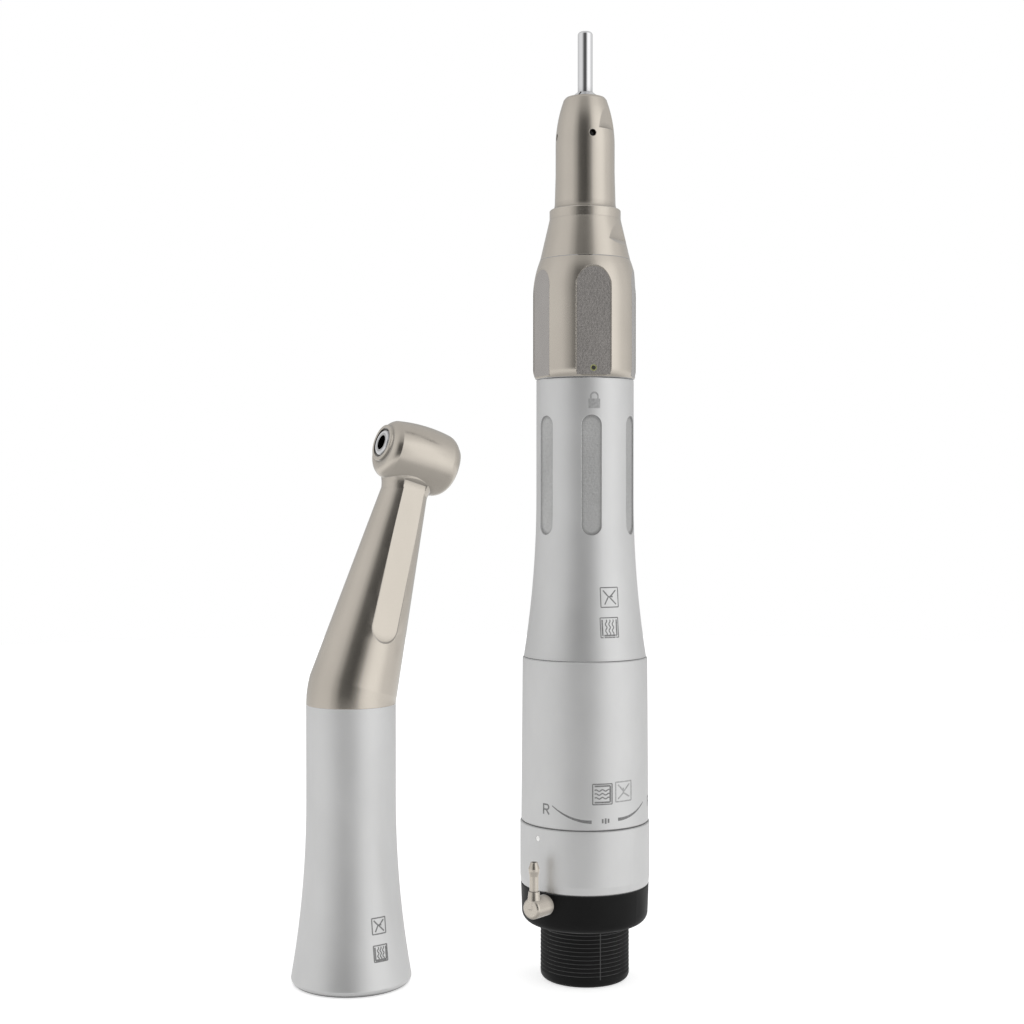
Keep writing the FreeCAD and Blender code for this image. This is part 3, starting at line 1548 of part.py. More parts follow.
def contra_head():
    tube = revolved("contra_head_tube", [
        (D.head_tube_bore_rad, D.head_tube_low_z),
        (D.head_tube_rad, D.head_tube_low_z),
        (D.head_tube_rad, D.head_flange_z),
        (D.head_flange_rad, D.head_flange_z),
        (D.head_flange_rad, D.head_tube_top_z - D.edge_break),
        (D.head_flange_rad - D.edge_break, D.head_tube_top_z),
        (D.head_tube_bore_rad, D.head_tube_top_z),
    ])
    chuck = revolved("contra_chuck", [
        (0, D.chuck_floor_z - D.chuck_wall),
        (D.chuck_rad, D.chuck_floor_z - D.chuck_wall),
        (D.chuck_rad, D.head_tube_top_z),
        (D.chuck_bore_rad, D.head_tube_top_z),
        (D.chuck_bore_rad, D.chuck_floor_z),
        (0, D.chuck_floor_z),
    ])
    cap = revolved("head_back_cap", [
        (D.back_cap_hole_rad, D.back_cap_low_z),
        (D.head_bore_rad, D.back_cap_low_z),
        (D.head_bore_rad, D.back_cap_high_z),
        (D.head_seat, D.back_cap_high_z),
        (D.head_seat, D.back_cap_seat_z),
        (D.back_cap_hole_rad, D.back_cap_seat_z),
    ])
    button = revolved("push_button", [
        (0, D.button_floor_z),
        (0, D.button_top_z),
        (D.button_rad - D.button_break, D.button_edge_z - D.button_break, D.button_dome_round),
        (D.button_rad, D.button_edge_z),
        (D.button_rad, D.button_rim_z),
        (D.button_recess_rad, D.button_rim_z),
        (D.button_recess_rad, D.button_floor_z),
    ])
    spring = new_body("button_spring")
    coil(spring, D.button_coil_rad, D.button_wire_rad, D.button_spring_low_z,
         D.button_spring_length, D.button_spring_pitch)
    for thing in (tube, chuck, cap, button, spring):
        thing.Placement = HEAD_FRAME


# --------------------------------------------------------------------------------------
# Build, check and write
# --------------------------------------------------------------------------------------
def bearings():
    motor = [D.motor_bearing_low_z, D.motor_bearing_high_z]
    races("motor_bearing_inners", "motor", D.shaft_rad, motor)
    keep(outer_races("motor", motor), "motor_bearing_outers")
    keep(balls("motor", motor), "motor_bearing_balls")
    front = [D.spindle_rear_bearing_z, D.spindle_mid_bearing_z, D.spindle_front_bearing_z]
    races("spindle_bearing_inners", "spindle", D.spindle_rad, front)
    keep(outer_races("spindle", front), "spindle_bearing_outers")
    keep(balls("spindle", front), "spindle_bearing_balls")
    drive = [D.contra_bearing_low_z, D.contra_bearing_high_z]
    neck = [D.neck_bearing_low_z, D.neck_bearing_high_z]
    head = [D.back_cap_seat_z, D.head_lip_z - D.head_race_width]
    races("contra_drive_bearing_inners", "spindle", D.spindle_rad, drive, SHEATH_FRAME)
    races("contra_neck_bearing_inners", "neck", D.neck_shaft_rad, neck, NECK_FRAME)
    races("contra_head_bearing_inners", "head", D.head_tube_rad, head, HEAD_FRAME)
    outers = [
        outer_races("spindle", drive, SHEATH_FRAME),
        outer_races("neck", neck, NECK_FRAME),
        outer_races("head", head, HEAD_FRAME),
    ]
    circles = [
        balls("spindle", drive, SHEATH_FRAME),
        balls("neck", neck, NECK_FRAME),
        balls("head", head, HEAD_FRAME),
    ]
    keep(group("contra_bearing_outers", outers), "contra_bearing_outers")
    keep(group("contra_bearing_balls", circles), "contra_bearing_balls")


def check():
    """Stop on any failed object, and on any cut that removed nothing."""
    for thing in doc.Objects:
        if "Invalid" in thing.State or "Error" in thing.State:
            raise RuntimeError(f"{thing.Label} failed: {thing.State}")
        if thing.TypeId in ("PartDesign::Pocket", "PartDesign::Groove",
                            "PartDesign::SubtractiveHelix"):
            before = thing.BaseFeature.Shape.Volume
            if thing.Shape.Volume > before - 1e-4:
                raise RuntimeError(f"{thing.Label} in {thing.getParentGeoFeatureGroup().Label}"
                                   " cuts nothing")
    for thing in NODES:
        if thing.Shape.isNull() or not thing.Shape.isValid():
            raise RuntimeError(f"{thing.Label} has no valid shape")


for build in (
    hose_connector, hose_gasket, rear_cap, spray_elbow, spray_nipple, valve_housing, detent,
    direction_ring, valve_plate, motor_sleeve, rear_plate, stator_liner, front_plate,
    motor_nose, nose_o_rings, retaining_clip, rotor, vanes, drive_fork, straight_sheath,
    coupling_sleeve, inner_barrel, lock_ring, release_sleeve, front_cone, nose_piece,
    front_fittings, spindle, collet, bur_blank, contra_sheath, contra_coupling, contra_neck,
    contra_drive_shaft, contra_neck_shaft, contra_gears, contra_head, bearings,
):
    build()

doc.recompute()
check()
os.makedirs("parts", exist_ok=True)
for thing in NODES:
    thing.Shape.exportStep(f"parts/{thing.Label}.step")
    print(f"{thing.Label}: {len(thing.Shape.Solids)} solids, {thing.Shape.Volume:.2f} mm3")
print(len(NODES), "nodes")
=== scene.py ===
"""Looks of the low-speed dental handpiece set: studio, materials, marks and blasted floors."""
import json
import math

import bpy
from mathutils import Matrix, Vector


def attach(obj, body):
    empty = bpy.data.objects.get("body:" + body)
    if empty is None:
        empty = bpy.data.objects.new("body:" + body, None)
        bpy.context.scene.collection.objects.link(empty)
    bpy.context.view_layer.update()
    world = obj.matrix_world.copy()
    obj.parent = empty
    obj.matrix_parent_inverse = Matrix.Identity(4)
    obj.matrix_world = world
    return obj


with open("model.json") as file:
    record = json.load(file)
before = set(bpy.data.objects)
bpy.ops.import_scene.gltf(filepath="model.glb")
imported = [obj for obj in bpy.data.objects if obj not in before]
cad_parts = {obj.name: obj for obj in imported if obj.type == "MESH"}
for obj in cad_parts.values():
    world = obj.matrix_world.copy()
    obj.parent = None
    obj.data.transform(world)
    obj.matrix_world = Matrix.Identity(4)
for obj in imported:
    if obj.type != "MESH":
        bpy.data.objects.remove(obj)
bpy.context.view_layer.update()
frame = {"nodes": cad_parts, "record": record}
NODES = frame["nodes"]
MM = 0.001


# --------------------------------------------------------------------------------------
# Camera, world and floor
# --------------------------------------------------------------------------------------
CAMERA_PLACE = (-0.0124, -0.25377, 0.07704)
CAMERA_LENS, CAMERA_SENSOR = 56.47, 36.0
CAMERA_NEAREST = 0.01
# Degrees up from straight down, and degrees round to the left.
CAMERA_PITCH, CAMERA_TURN = 89.219, -0.198


def add_object(name, data):
    """An object in the scene that holds the data."""
    added = bpy.data.objects.new(name, data)
    bpy.context.scene.collection.objects.link(added)
    return added


def make_camera():
    """A nearly level camera, half way up the set."""
    data = bpy.data.cameras.new("camera")
    data.sensor_width = CAMERA_SENSOR
    data.lens = CAMERA_LENS
    data.clip_start = CAMERA_NEAREST
    camera = add_object("camera", data)
    camera.location = CAMERA_PLACE
    camera.rotation_euler = (math.radians(CAMERA_PITCH), 0, math.radians(CAMERA_TURN))
    bpy.context.scene.camera = camera


# Azimuth in degrees to the right of the camera side, and the level of grey there.
ROUND_THE_STUDIO = [
    (-180, 0.40), (-150, 0.45), (-121, 0.55), (-84, 0.64), (-56, 0.62), (-38, 0.40),
    (-24, 0.10), (2, 0.06), (16, 0.20), (30, 0.74), (45, 0.92), (63, 0.95), (92, 0.67),
    (125, 0.52), (150, 0.46), (180, 0.40)]
# Height of the direction (-1 down, 1 up), and how far table and ceiling hide the sweep.
COVER = [(-1, 1.0), (-0.45, 1.0), (-0.3, 0.95), (-0.2, 0.65), (-0.1, 0.1), (-0.04, 0.0),
         (0.5, 0.0), (0.72, 0.6), (1, 1.0)]
# Height of the direction, and the grey of the table and the ceiling.
TABLE_AND_CEILING = [(-1, 0.42), (-0.6, 0.46), (-0.35, 0.72), (-0.2, 0.80), (0.2, 0.62),
                     (0.5, 0.58), (1, 0.50)]
STUDIO_STRENGTH = 1.35

FLOOR_RADIUS = 0.6
FLOOR_SIDES = 96
FLOOR_HEIGHT = -0.00002
FLOOR_GLOW = 0.6


def wire(links, value, socket):
    """Feed a socket from another node's output, or set it to a plain value."""
    if isinstance(value, bpy.types.NodeSocket):
        links.new(value, socket)
    else:
        socket.default_value = value


def worked_out(nodes, links, operation, *values):
    """A maths node's result, from numbers and other nodes' outputs."""
    maths = nodes.new("ShaderNodeMath")
    maths.operation = operation
    for value, socket in zip(values, maths.inputs):
        wire(links, value, socket)
    return maths.outputs[0]


def mixed(nodes, links, factor, first, second):
    """A colour between two, each a colour or another node's output."""
    mix = nodes.new("ShaderNodeMix")
    mix.data_type = "RGBA"
    wire(links, factor, mix.inputs["Factor"])
    wire(links, first, mix.inputs["A"])
    wire(links, second, mix.inputs["B"])
    return mix.outputs["Result"]


def set_ramp(ramp, stops, low, high):
    """Give a colour ramp grey stops (place, level), their places between low and high."""
    while len(ramp.elements) > 1:
        ramp.elements.remove(ramp.elements[0])
    levels = [((place - low) / (high - low), level) for place, level in stops]
    ramp.elements[0].position = levels[0][0]
    ramp.elements[0].color = (levels[0][1],) * 3 + (1,)
    for place, level in levels[1:]:
        ramp.elements.new(place).color = (level,) * 3 + (1,)


def grey_ramp(nodes, links, value, stops, low, high):
    """Look a value between low and high up in a list of grey stops."""
    place = nodes.new("ShaderNodeMapRange")
    place.inputs["From Min"].default_value = low
    place.inputs["From Max"].default_value = high
    links.new(value, place.inputs["Value"])
    ramp = nodes.new("ShaderNodeValToRGB")
    ramp.color_ramp.interpolation = "EASE"
    set_ramp(ramp.color_ramp, stops, low, high)
    links.new(place.outputs[0], ramp.inputs["Fac"])
    return ramp.outputs["Color"]


def make_world():
    """A studio sweep, a dark gap between broad soft boxes; the camera sees plain white."""
    world = bpy.data.worlds.new("studio")
    bpy.context.scene.world = world
    world.use_nodes = True
    nodes = world.node_tree.nodes
    links = world.node_tree.links
    nodes.clear()
    coordinates = nodes.new("ShaderNodeTexCoord")
    split = nodes.new("ShaderNodeSeparateXYZ")
    links.new(coordinates.outputs["Generated"], split.inputs[0])
    forward = worked_out(nodes, links, "MULTIPLY", split.outputs["Y"], -1)
    azimuth = worked_out(nodes, links, "ARCTAN2", split.outputs["X"], forward)
    degrees = worked_out(nodes, links, "DEGREES", azimuth)
    sweep = grey_ramp(nodes, links, degrees, ROUND_THE_STUDIO, -180, 180)
    cover = grey_ramp(nodes, links, split.outputs["Z"], COVER, -1, 1)
    table = grey_ramp(nodes, links, split.outputs["Z"], TABLE_AND_CEILING, -1, 1)
    studio = nodes.new("ShaderNodeBackground")
    studio.inputs["Strength"].default_value = STUDIO_STRENGTH
    links.new(mixed(nodes, links, cover, sweep, table), studio.inputs["Color"])
    plain = nodes.new("ShaderNodeBackground")
    plain.inputs["Color"].default_value = (1, 1, 1, 1)
    path = nodes.new("ShaderNodeLightPath")
    choose = nodes.new("ShaderNodeMixShader")
    links.new(path.outputs["Is Camera Ray"], choose.inputs["Fac"])
    links.new(studio.outputs[0], choose.inputs[1])
    links.new(plain.outputs[0], choose.inputs[2])
    output = nodes.new("ShaderNodeOutputWorld")
    links.new(choose.outputs[0], output.inputs["Surface"])


def make_floor():
    """The white ground the set stands on, lit so that it fades into the background."""
    mesh = bpy.data.meshes.new("floor")
    angles = [2 * math.pi * k / FLOOR_SIDES for k in range(FLOOR_SIDES)]
    ring = [(FLOOR_RADIUS * math.cos(a), FLOOR_RADIUS * math.sin(a), FLOOR_HEIGHT)
            for a in angles]
    mesh.from_pydata(ring, [], [list(range(FLOOR_SIDES))])
    floor = add_object("floor", mesh)
    material, nodes, _ = new_material("floor_white")
    shader = nodes["Principled BSDF"]
    shader.inputs["Base Color"].default_value = (0.9, 0.9, 0.9, 1)
    shader.inputs["Roughness"].default_value = 0.6
    shader.inputs["Emission Color"].default_value = (1, 1, 1, 1)
    shader.inputs["Emission Strength"].default_value = FLOOR_GLOW
    mesh.materials.append(material)
    floor.visible_glossy = False


# --------------------------------------------------------------------------------------
# Materials
# --------------------------------------------------------------------------------------
BUMP_DEPTH = 0.0001
EDGE_SAMPLES = 6
# Painted shade in gaps and holes: its samples and how hard it darkens.
PAINTED_SHADE_SAMPLES = 6
PAINTED_SHADE_POWER = 1.3
# Where noise starts and ends once its rare extremes are left out.
NOISE_LOW, NOISE_HIGH = 0.3, 0.7
# How far rounded and true normals agree on an edge, and away from one.
ON_EDGE, OFF_EDGE = 0.90, 0.998
# How far edges go over to their lighter colour: edge wear, and on metal a painted highlight too.
METAL_RUB_AND_HIGHLIGHT, MOULDED_RUB, MOULDED_RUB_TONE = 0.6, 0.5, 2.5
MOULDED_UNEVEN = 0.05
INK_PATCH_TONE = 1.5
# Cycles a metre along the x, y and z of a piece.
TURNING_LINES = (300, 300, 14000)
METAL_CLOUDS = (160, 160, 90)
SPARK_TEXTURE = (7000, 7000, 7000)
MOULDED_CLOUDS = (250, 250, 250)
INK_PATCHES = (3000, 3000, 3000)


def new_material(name):
    """A material, with its nodes and links."""
    material = bpy.data.materials.new(name)
    material.use_nodes = True
    return material, material.node_tree.nodes, material.node_tree.links


def object_noise(nodes, links, scale, detail):
    """Noise in the piece's own frame; the scale is cycles a metre on each axis."""
    coordinates = nodes.new("ShaderNodeTexCoord")
    mapping = nodes.new("ShaderNodeMapping")
    mapping.inputs["Scale"].default_value = scale
    links.new(coordinates.outputs["Object"], mapping.inputs["Vector"])
    noise = nodes.new("ShaderNodeTexNoise")
    noise.inputs["Scale"].default_value = 1.0
    noise.inputs["Detail"].default_value = detail
    links.new(mapping.outputs[0], noise.inputs["Vector"])
    return noise.outputs["Fac"]


def spread(nodes, links, value, low, high, start=NOISE_LOW, end=NOISE_HIGH):
    """Carry a value from start..end over to low..high."""
    carry = nodes.new("ShaderNodeMapRange")
    carry.inputs["From Min"].default_value = start
    carry.inputs["From Max"].default_value = end
    carry.inputs["To Min"].default_value = low
    carry.inputs["To Max"].default_value = high
    links.new(value, carry.inputs["Value"])
    return carry.outputs[0]


def edge_mask(nodes, links, radius):
    """The normal with rounded edges, and a mask: 1 along edges, where edge wear shows and, on
    metal, a painted highlight.
    """
    bevel = nodes.new("ShaderNodeBevel")
    bevel.samples = EDGE_SAMPLES
    bevel.inputs["Radius"].default_value = radius
    geometry = nodes.new("ShaderNodeNewGeometry")
    agree = nodes.new("ShaderNodeVectorMath")
    agree.operation = "DOT_PRODUCT"
    links.new(bevel.outputs[0], agree.inputs[0])
    links.new(geometry.outputs["Normal"], agree.inputs[1])
    mask = spread(nodes, links, agree.outputs["Value"], 1.0, 0.0, ON_EDGE, OFF_EDGE)
    return bevel.outputs[0], mask


def with_painted_shade(nodes, links, color, reach):
    """Darken a colour in gaps, holes and inner corners: painted shade, where light is lost."""
    occlusion = nodes.new("ShaderNodeAmbientOcclusion")
    occlusion.samples = PAINTED_SHADE_SAMPLES
    occlusion.inputs["Distance"].default_value = reach
    depth = worked_out(nodes, links, "POWER", occlusion.outputs["AO"], PAINTED_SHADE_POWER)
    dark = nodes.new("ShaderNodeVectorMath")
    dark.operation = "SCALE"
    links.new(color, dark.inputs[0])
    links.new(depth, dark.inputs["Scale"])
    return dark.outputs["Vector"]


def bumped(nodes, links, height, normal, strength):
    """A normal, roughened by a height."""
    relief = nodes.new("ShaderNodeBump")
    relief.inputs["Strength"].default_value = strength
    relief.inputs["Distance"].default_value = BUMP_DEPTH
    links.new(height, relief.inputs["Height"])
    links.new(normal, relief.inputs["Normal"])
    return relief.outputs[0]


def toned(color, factor):
    """A colour made lighter or darker, with full alpha."""
    return (*[part * factor for part in color], 1)


def metal(name, color, worn_and_highlit, roughness, grain=0.05, lines=0.02, bump=0.02, tone=0.04,
          edge=0.00012, metallic=1.0, reach=0.0012, grain_scale=9000):
    """A turned and finished metal: blasted grain, faint turning lines, edges lighter from wear
    and a painted highlight, and painted shade in gaps out to reach.
    """
    material, nodes, links = new_material(name)
    shader = nodes["Principled BSDF"]
    shader.inputs["Metallic"].default_value = metallic
    fine = object_noise(nodes, links, (grain_scale,) * 3, 2.0)
    turned = object_noise(nodes, links, TURNING_LINES, 1.0)
    cloudy = object_noise(nodes, links, METAL_CLOUDS, 3.0)
    rounded, mask = edge_mask(nodes, links, edge)
    grainy = spread(nodes, links, fine, roughness - grain, roughness + grain)
    uneven = spread(nodes, links, cloudy, -lines, lines)
    rough = worked_out(nodes, links, "ADD", grainy, uneven)
    links.new(rough, shader.inputs["Roughness"])
    clouds = spread(nodes, links, cloudy, 0.0, 1.0)
    shade = mixed(nodes, links, clouds, toned(color, 1 - tone), toned(color, 1 + tone))
    # Edges go over to the lighter edge colour: edge wear and a painted highlight.
    edge_lightening = spread(nodes, links, mask, 0.0, METAL_RUB_AND_HIGHLIGHT, 0.0, 1.0)
    rubbed_and_highlit = mixed(nodes, links, edge_lightening, shade, (*worn_and_highlit, 1))
    # Painted shade: the base colour darkens in gaps and holes, as far as reach.
    links.new(with_painted_shade(nodes, links, rubbed_and_highlit, reach), shader.inputs["Base Color"])
    height = worked_out(nodes, links, "ADD", fine, turned)
    links.new(bumped(nodes, links, height, rounded, bump), shader.inputs["Normal"])
    return material


def moulded(name, color, roughness, specular=0.3, bump=0.06, edge=0.00015):
    """Moulded plastic or rubber: a fine spark texture and a dull, uneven sheen."""
    material, nodes, links = new_material(name)
    shader = nodes["Principled BSDF"]
    shader.inputs["Specular IOR Level"].default_value = specular
    fine = object_noise(nodes, links, SPARK_TEXTURE, 2.0)
    cloudy = object_noise(nodes, links, MOULDED_CLOUDS, 3.0)
    rounded, mask = edge_mask(nodes, links, edge)
    rough = spread(nodes, links, cloudy, roughness - MOULDED_UNEVEN,
                   roughness + MOULDED_UNEVEN)
    links.new(rough, shader.inputs["Roughness"])
    edge_lightening = spread(nodes, links, mask, 0.0, MOULDED_RUB, 0.0, 1.0)
    shade = mixed(nodes, links, edge_lightening, (*color, 1), toned(color, MOULDED_RUB_TONE))
    links.new(shade, shader.inputs["Base Color"])
    links.new(bumped(nodes, links, fine, rounded, bump), shader.inputs["Normal"])
    return material


def ink(name, color, roughness=0.55, metallic=0.0):
    """A flat mark, a little uneven: print and etching, and also the painted shadow in the lock
    dimple and the painted highlight on the moulding line.
    """
    material, nodes, links = new_material(name)
    shader = nodes["Principled BSDF"]
    shader.inputs["Metallic"].default_value = metallic
    shader.inputs["Roughness"].default_value = roughness
    patchy = object_noise(nodes, links, INK_PATCHES, 3.0)
    patches = spread(nodes, links, patchy, 0.0, 1.0)
    shade = mixed(nodes, links, patches, (*color, 1), toned(color, INK_PATCH_TONE))
    links.new(shade, shader.inputs["Base Color"])
    return material


# Each metal's second colour is its edge colour: edge wear, lightened further as a painted
# highlight.
MATERIALS = {
    "silver_casing": metal("silver_casing", (0.665, 0.665, 0.662), (0.82, 0.82, 0.82), 0.44,
                           metallic=0.8, reach=0.0006),
    "titan_grey": metal("titan_grey", (0.57, 0.525, 0.463), (0.72, 0.68, 0.63), 0.23,
                        grain=0.03),
    "black_plastic": moulded("black_plastic", (0.006, 0.006, 0.006), 0.48, 0.14),
    "ground_steel": metal("ground_steel", (0.52, 0.52, 0.52), (0.7, 0.7, 0.7), 0.25, bump=0.05,
                          reach=0.004),
    "polished_bur": metal("polished_bur", (0.78, 0.78, 0.79), (0.85, 0.85, 0.85), 0.05,
                          grain=0.015, lines=0.01, bump=0.002, tone=0.01),
    "seal_rubber": moulded("seal_rubber", (0.015, 0.015, 0.015), 0.65),
    "brass_inner": metal("brass_inner", (0.72, 0.55, 0.28), (0.82, 0.66, 0.38), 0.28,
                         bump=0.05),
    "spring_wire": metal("spring_wire", (0.5, 0.5, 0.52), (0.6, 0.6, 0.6), 0.22, edge=0.00003),
    "vane_composite": moulded("vane_composite", (0.16, 0.08, 0.035), 0.5),
}
ETCHED = ink("etched_mark", (0.17, 0.17, 0.17), 0.5, 0.4)
FAINT = ink("faint_mark", (0.33, 0.33, 0.33), 0.5, 0.6)
WHITE_PAINT = ink("white_paint", (0.90, 0.90, 0.88), 0.4)
GREEN_PAINT = ink("green_paint", (0.24, 0.25, 0.09), 0.45)
# A dark disc for the painted shadow in the lock dimple.
DIMPLE_PAINTED_SHADOW = ink("dimple_painted_shadow", (0.02, 0.02, 0.02), 0.6)
# The moulding line's colour, lighter than the plastic: the parting line with a painted
# highlight.
MOULDING_FLASH_AND_HIGHLIGHT = ink("moulding_flash_and_highlight", (0.035, 0.035, 0.035), 0.5)
BLASTED_SILVER = metal("blasted_silver", (0.56, 0.56, 0.555), (0.7, 0.7, 0.7), 0.50,
                       grain=0.14, bump=0.5, tone=0.08, reach=0.0006, grain_scale=2600)
BLASTED_TITAN = metal("blasted_titan", (0.46, 0.435, 0.415), (0.6, 0.58, 0.54), 0.24,
                      grain=0.06, bump=0.14, tone=0.06, grain_scale=3200)

# Pieces that other pieces are seen to reflect; the rest would only show as dark stripes.
REFLECTED = {"contra_chuck", "contra_head_tube", "collet", "bur_blank", "spray_elbow",
             "spray_nipple", "dust_seal"}


def dress_nodes():
    """Give every CAD node the material of its slot."""
    for row in frame["record"]["subparts"]:
        piece = NODES[row["node"]]
        piece.data.materials.clear()
        piece.data.materials.append(MATERIALS[row["material_slot"]])
        piece.visible_glossy = row["node"] in REFLECTED


# --------------------------------------------------------------------------------------
# Marks, drawn flat in millimetres and wrapped on a round casing. Azimuths are in degrees
# to the right of the camera side, and heights in millimetres.
# --------------------------------------------------------------------------------------
SLEEVE_BOTTOM, SLEEVE_TOP = 25.1, 50.8
SLEEVE_FOOT_RADIUS, SLEEVE_TAPER = 10.05, 0.2
SHEATH_FLARE_TOP, SHEATH_FLARE_ROUND, SHEATH_RADIUS = 75.9, 159.0, 7.67
CONTRA_FLARE_TOP, CONTRA_FLARE_ROUND, CONTRA_RADIUS = 28.8, 159.7, 7.0
CONTRA_AXIS = (-36.75, -2.4)

RING_RADIUS = 10.2
DOT_AZIMUTH, DOT_HEIGHT, DOT_RADIUS, DOT_RECESS = -48, 23.3, 0.40, 0.04

LOCK_FLATS, LOCK_FLAT_AZIMUTH, LOCK_FLAT_FLOOR = 5, 7.2, 7.62
LOCK_FLAT_LOW, LOCK_FLAT_ARCH, LOCK_FLAT_HALF = 94.8, 108.75, 2.6
DIMPLE_HEIGHT, DIMPLE_RIM, DIMPLE_RADIUS, DIMPLE_DEPTH = 95.8, 0.5, 0.34, 0.05
DIMPLE_SHADOW_RADIUS = 0.33
NOTCH_RADIUS, NOTCH_HALF = 0.36, 0.03

GRIP_FLATS, GRIP_AZIMUTH, GRIP_FLOOR = 6, 5, 7.32
GRIP_LOW, GRIP_HIGH, GRIP_HALF = 71.7, 87.0, 1.4

CONNECTOR_RADIUS = 6.99
MOULDING_AZIMUTH, MOULDING_LOW, MOULDING_LENGTH, MOULDING_WIDTH = 17.5, 1.3, 7.4, 0.14

FRAME_LINE, SIGN_LINE, BAR_LINE, FOOT_LINE = 0.16, 0.2, 0.22, 0.26
LETTER_STEM, LETTER_BAR = 0.24, 0.22
ARC_THIN, ARC_SWELL, ARC_PARTS = 0.16, 0.34, 18
SCALE_RADIUS = 10.0
DISC_PARTS = 20
MARK_LIFT = 0.008
STEP = 0.35


def sleeve_radius(z):
    """The motor sleeve narrows a little towards its top."""
    return SLEEVE_FOOT_RADIUS - SLEEVE_TAPER * (z - SLEEVE_BOTTOM) / (SLEEVE_TOP - SLEEVE_BOTTOM)


def flared_radius(z, top, bend, radius):
    """A straight casing above top that flares out below it on a round of radius bend."""
    below = max(top - z, 0)
    return radius + bend - math.sqrt(bend * bend - below * below)


def sheath_radius(z):
    return flared_radius(z, SHEATH_FLARE_TOP, SHEATH_FLARE_ROUND, SHEATH_RADIUS)


def contra_radius(z):
    return flared_radius(z, CONTRA_FLARE_TOP, CONTRA_FLARE_ROUND, CONTRA_RADIUS)


def refine(points):
    """Add points so that no stretch is longer than STEP."""
    fine = [points[0]]
    for start, end in zip(points, points[1:]):
        parts = max(1, math.ceil(math.dist(start, end) / STEP))
        for k in range(1, parts + 1):
            fine.append(tuple(a + (b - a) * k / parts for a, b in zip(start, end)))
    return fine


def arc(across, up, radius, start, end, parts=16):
    """Points on a circle, between angles in degrees from the right."""
    angles = [math.radians(start + (end - start) * k / parts) for k in range(parts + 1)]
    return [(across + radius * math.cos(a), up + radius * math.sin(a)) for a in angles]


def stroke(points, width):
    """Quads along a line, each a list of four flat points."""
    fine = refine(points)
    sides = []
    for k, (x, y) in enumerate(fine):
        before = fine[max(k - 1, 0)]
        after = fine[min(k + 1, len(fine) - 1)]
        along = Vector((after[0] - before[0], after[1] - before[1])).normalized()
        across = Vector((-along.y, along.x)) * width / 2
        sides.append(((x + across.x, y + across.y), (x - across.x, y - across.y)))
    return [[a[0], a[1], b[1], b[0]] for a, b in zip(sides, sides[1:])]


def add_piece(name, vertices, faces, material, body):
    """A piece that rides on a body."""
    mesh = bpy.data.meshes.new(name)
    mesh.from_pydata(vertices, [], faces)
    mesh.materials.append(material)
    piece = add_object(name, mesh)
    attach(piece, body)
    return piece


def wrapped(name, quads, azimuth, height, radius, material, body, axis=(0, 0)):
    """A mark on a casing, its flat origin at an azimuth and a height."""
    vertices = []
    faces = []
    for quad in quads:
        first = len(vertices)
        for across, up in quad:
            z = height + up
            reach = radius(z) + MARK_LIFT
            angle = math.radians(azimuth) + across / reach
            vertices.append(((axis[0] + reach * math.sin(angle)) * MM,
                             (axis[1] - reach * math.cos(angle)) * MM, z * MM))
        faces.append(range(first, first + 4))
    return add_piece(name, vertices, faces, material, body)


def filled(left, bottom, right, top):
    """A filled rectangle."""
    middle = (bottom + top) / 2
    return stroke([(left, middle), (right, middle)], top - bottom)


def framed(size, line):
    """The outline of a square about the origin."""
    half = size / 2
    corners = [(-half, -half), (half, -half), (half, half), (-half, half), (-half, -half)]
    quads = []
    for start, end in zip(corners, corners[1:]):
        quads += stroke([start, end], line)
    return quads


def crossed_box(size):
    """A plain pictogram: two bent lines in a frame."""
    half = size * 0.36
    knee = (-half * 0.2, 0.1)
    quads = framed(size, FRAME_LINE)
    quads += stroke([(-half, half), knee, (-half * 0.8, -half)], SIGN_LINE)
    quads += stroke([(half, half), (0, 0), (half, -half)], SIGN_LINE)
    quads += stroke([knee, (half * 0.5, 0.1)], SIGN_LINE)
    return quads


def quarter_turn(quads):
    """Turn flat quads through a right angle."""
    return [[(-up, across) for across, up in quad] for quad in quads]


def waved_box(size):
    """A plain pictogram: three wavy lines in a frame with two bars."""
    half = size * 0.4
    wave_parts = 14
    quads = framed(size, FRAME_LINE)
    for side in (-1, 1):
        quads += stroke([(side * half, -half), (side * half, half)], BAR_LINE)
    for column in (-1, 0, 1):
        middle = column * size * 0.19
        line = [(middle + 0.13 * math.sin(k * 1.1), -half + 2 * half * k / wave_parts)
                for k in range(wave_parts + 1)]
        quads += stroke(line, FRAME_LINE)
    quads += stroke([(-half, -half), (half, -half)], FOOT_LINE)
    return quads


def padlock():
    """A padlock 1.8 mm wide, its body under a shackle."""
    quads = filled(-0.9, -1.3, 0.9, 0.15)
    shackle = [(-0.55, 0.1)] + arc(0, 0.55, 0.55, 180, 0) + [(0.55, 0.1)]
    quads += stroke(shackle, LETTER_STEM)
    return quads


def letter_r():
    """The letter for reverse, 1.6 mm high."""
    bowl = [(-0.5, 0.7), (0.1, 0.7)] + arc(0.1, 0.32, 0.38, 90, -90) + [(-0.5, -0.06)]
    quads = stroke([(-0.5, -0.8), (-0.5, 0.8)], LETTER_STEM)
    quads += stroke(bowl, LETTER_BAR)
    quads += stroke([(0.0, -0.06), (0.55, -0.8)], LETTER_STEM)
    return quads


def letter_f():
    """The letter for forward, 1.6 mm high."""
    quads = stroke([(-0.4, -0.8), (-0.4, 0.8)], LETTER_STEM)
    quads += stroke([(-0.5, 0.7), (0.5, 0.7)], LETTER_BAR)
    quads += stroke([(-0.4, 0.0), (0.35, 0.0)], LETTER_BAR)
    return quads


def stop_mark():
    """The middle of the direction scale: a dot between two short bars."""
    quads = filled(-0.14, -0.4, 0.14, 0.4)
    quads += filled(-0.6, -0.32, -0.34, 0.32)
    quads += filled(0.34, -0.32, 0.6, 0.32)
    return quads


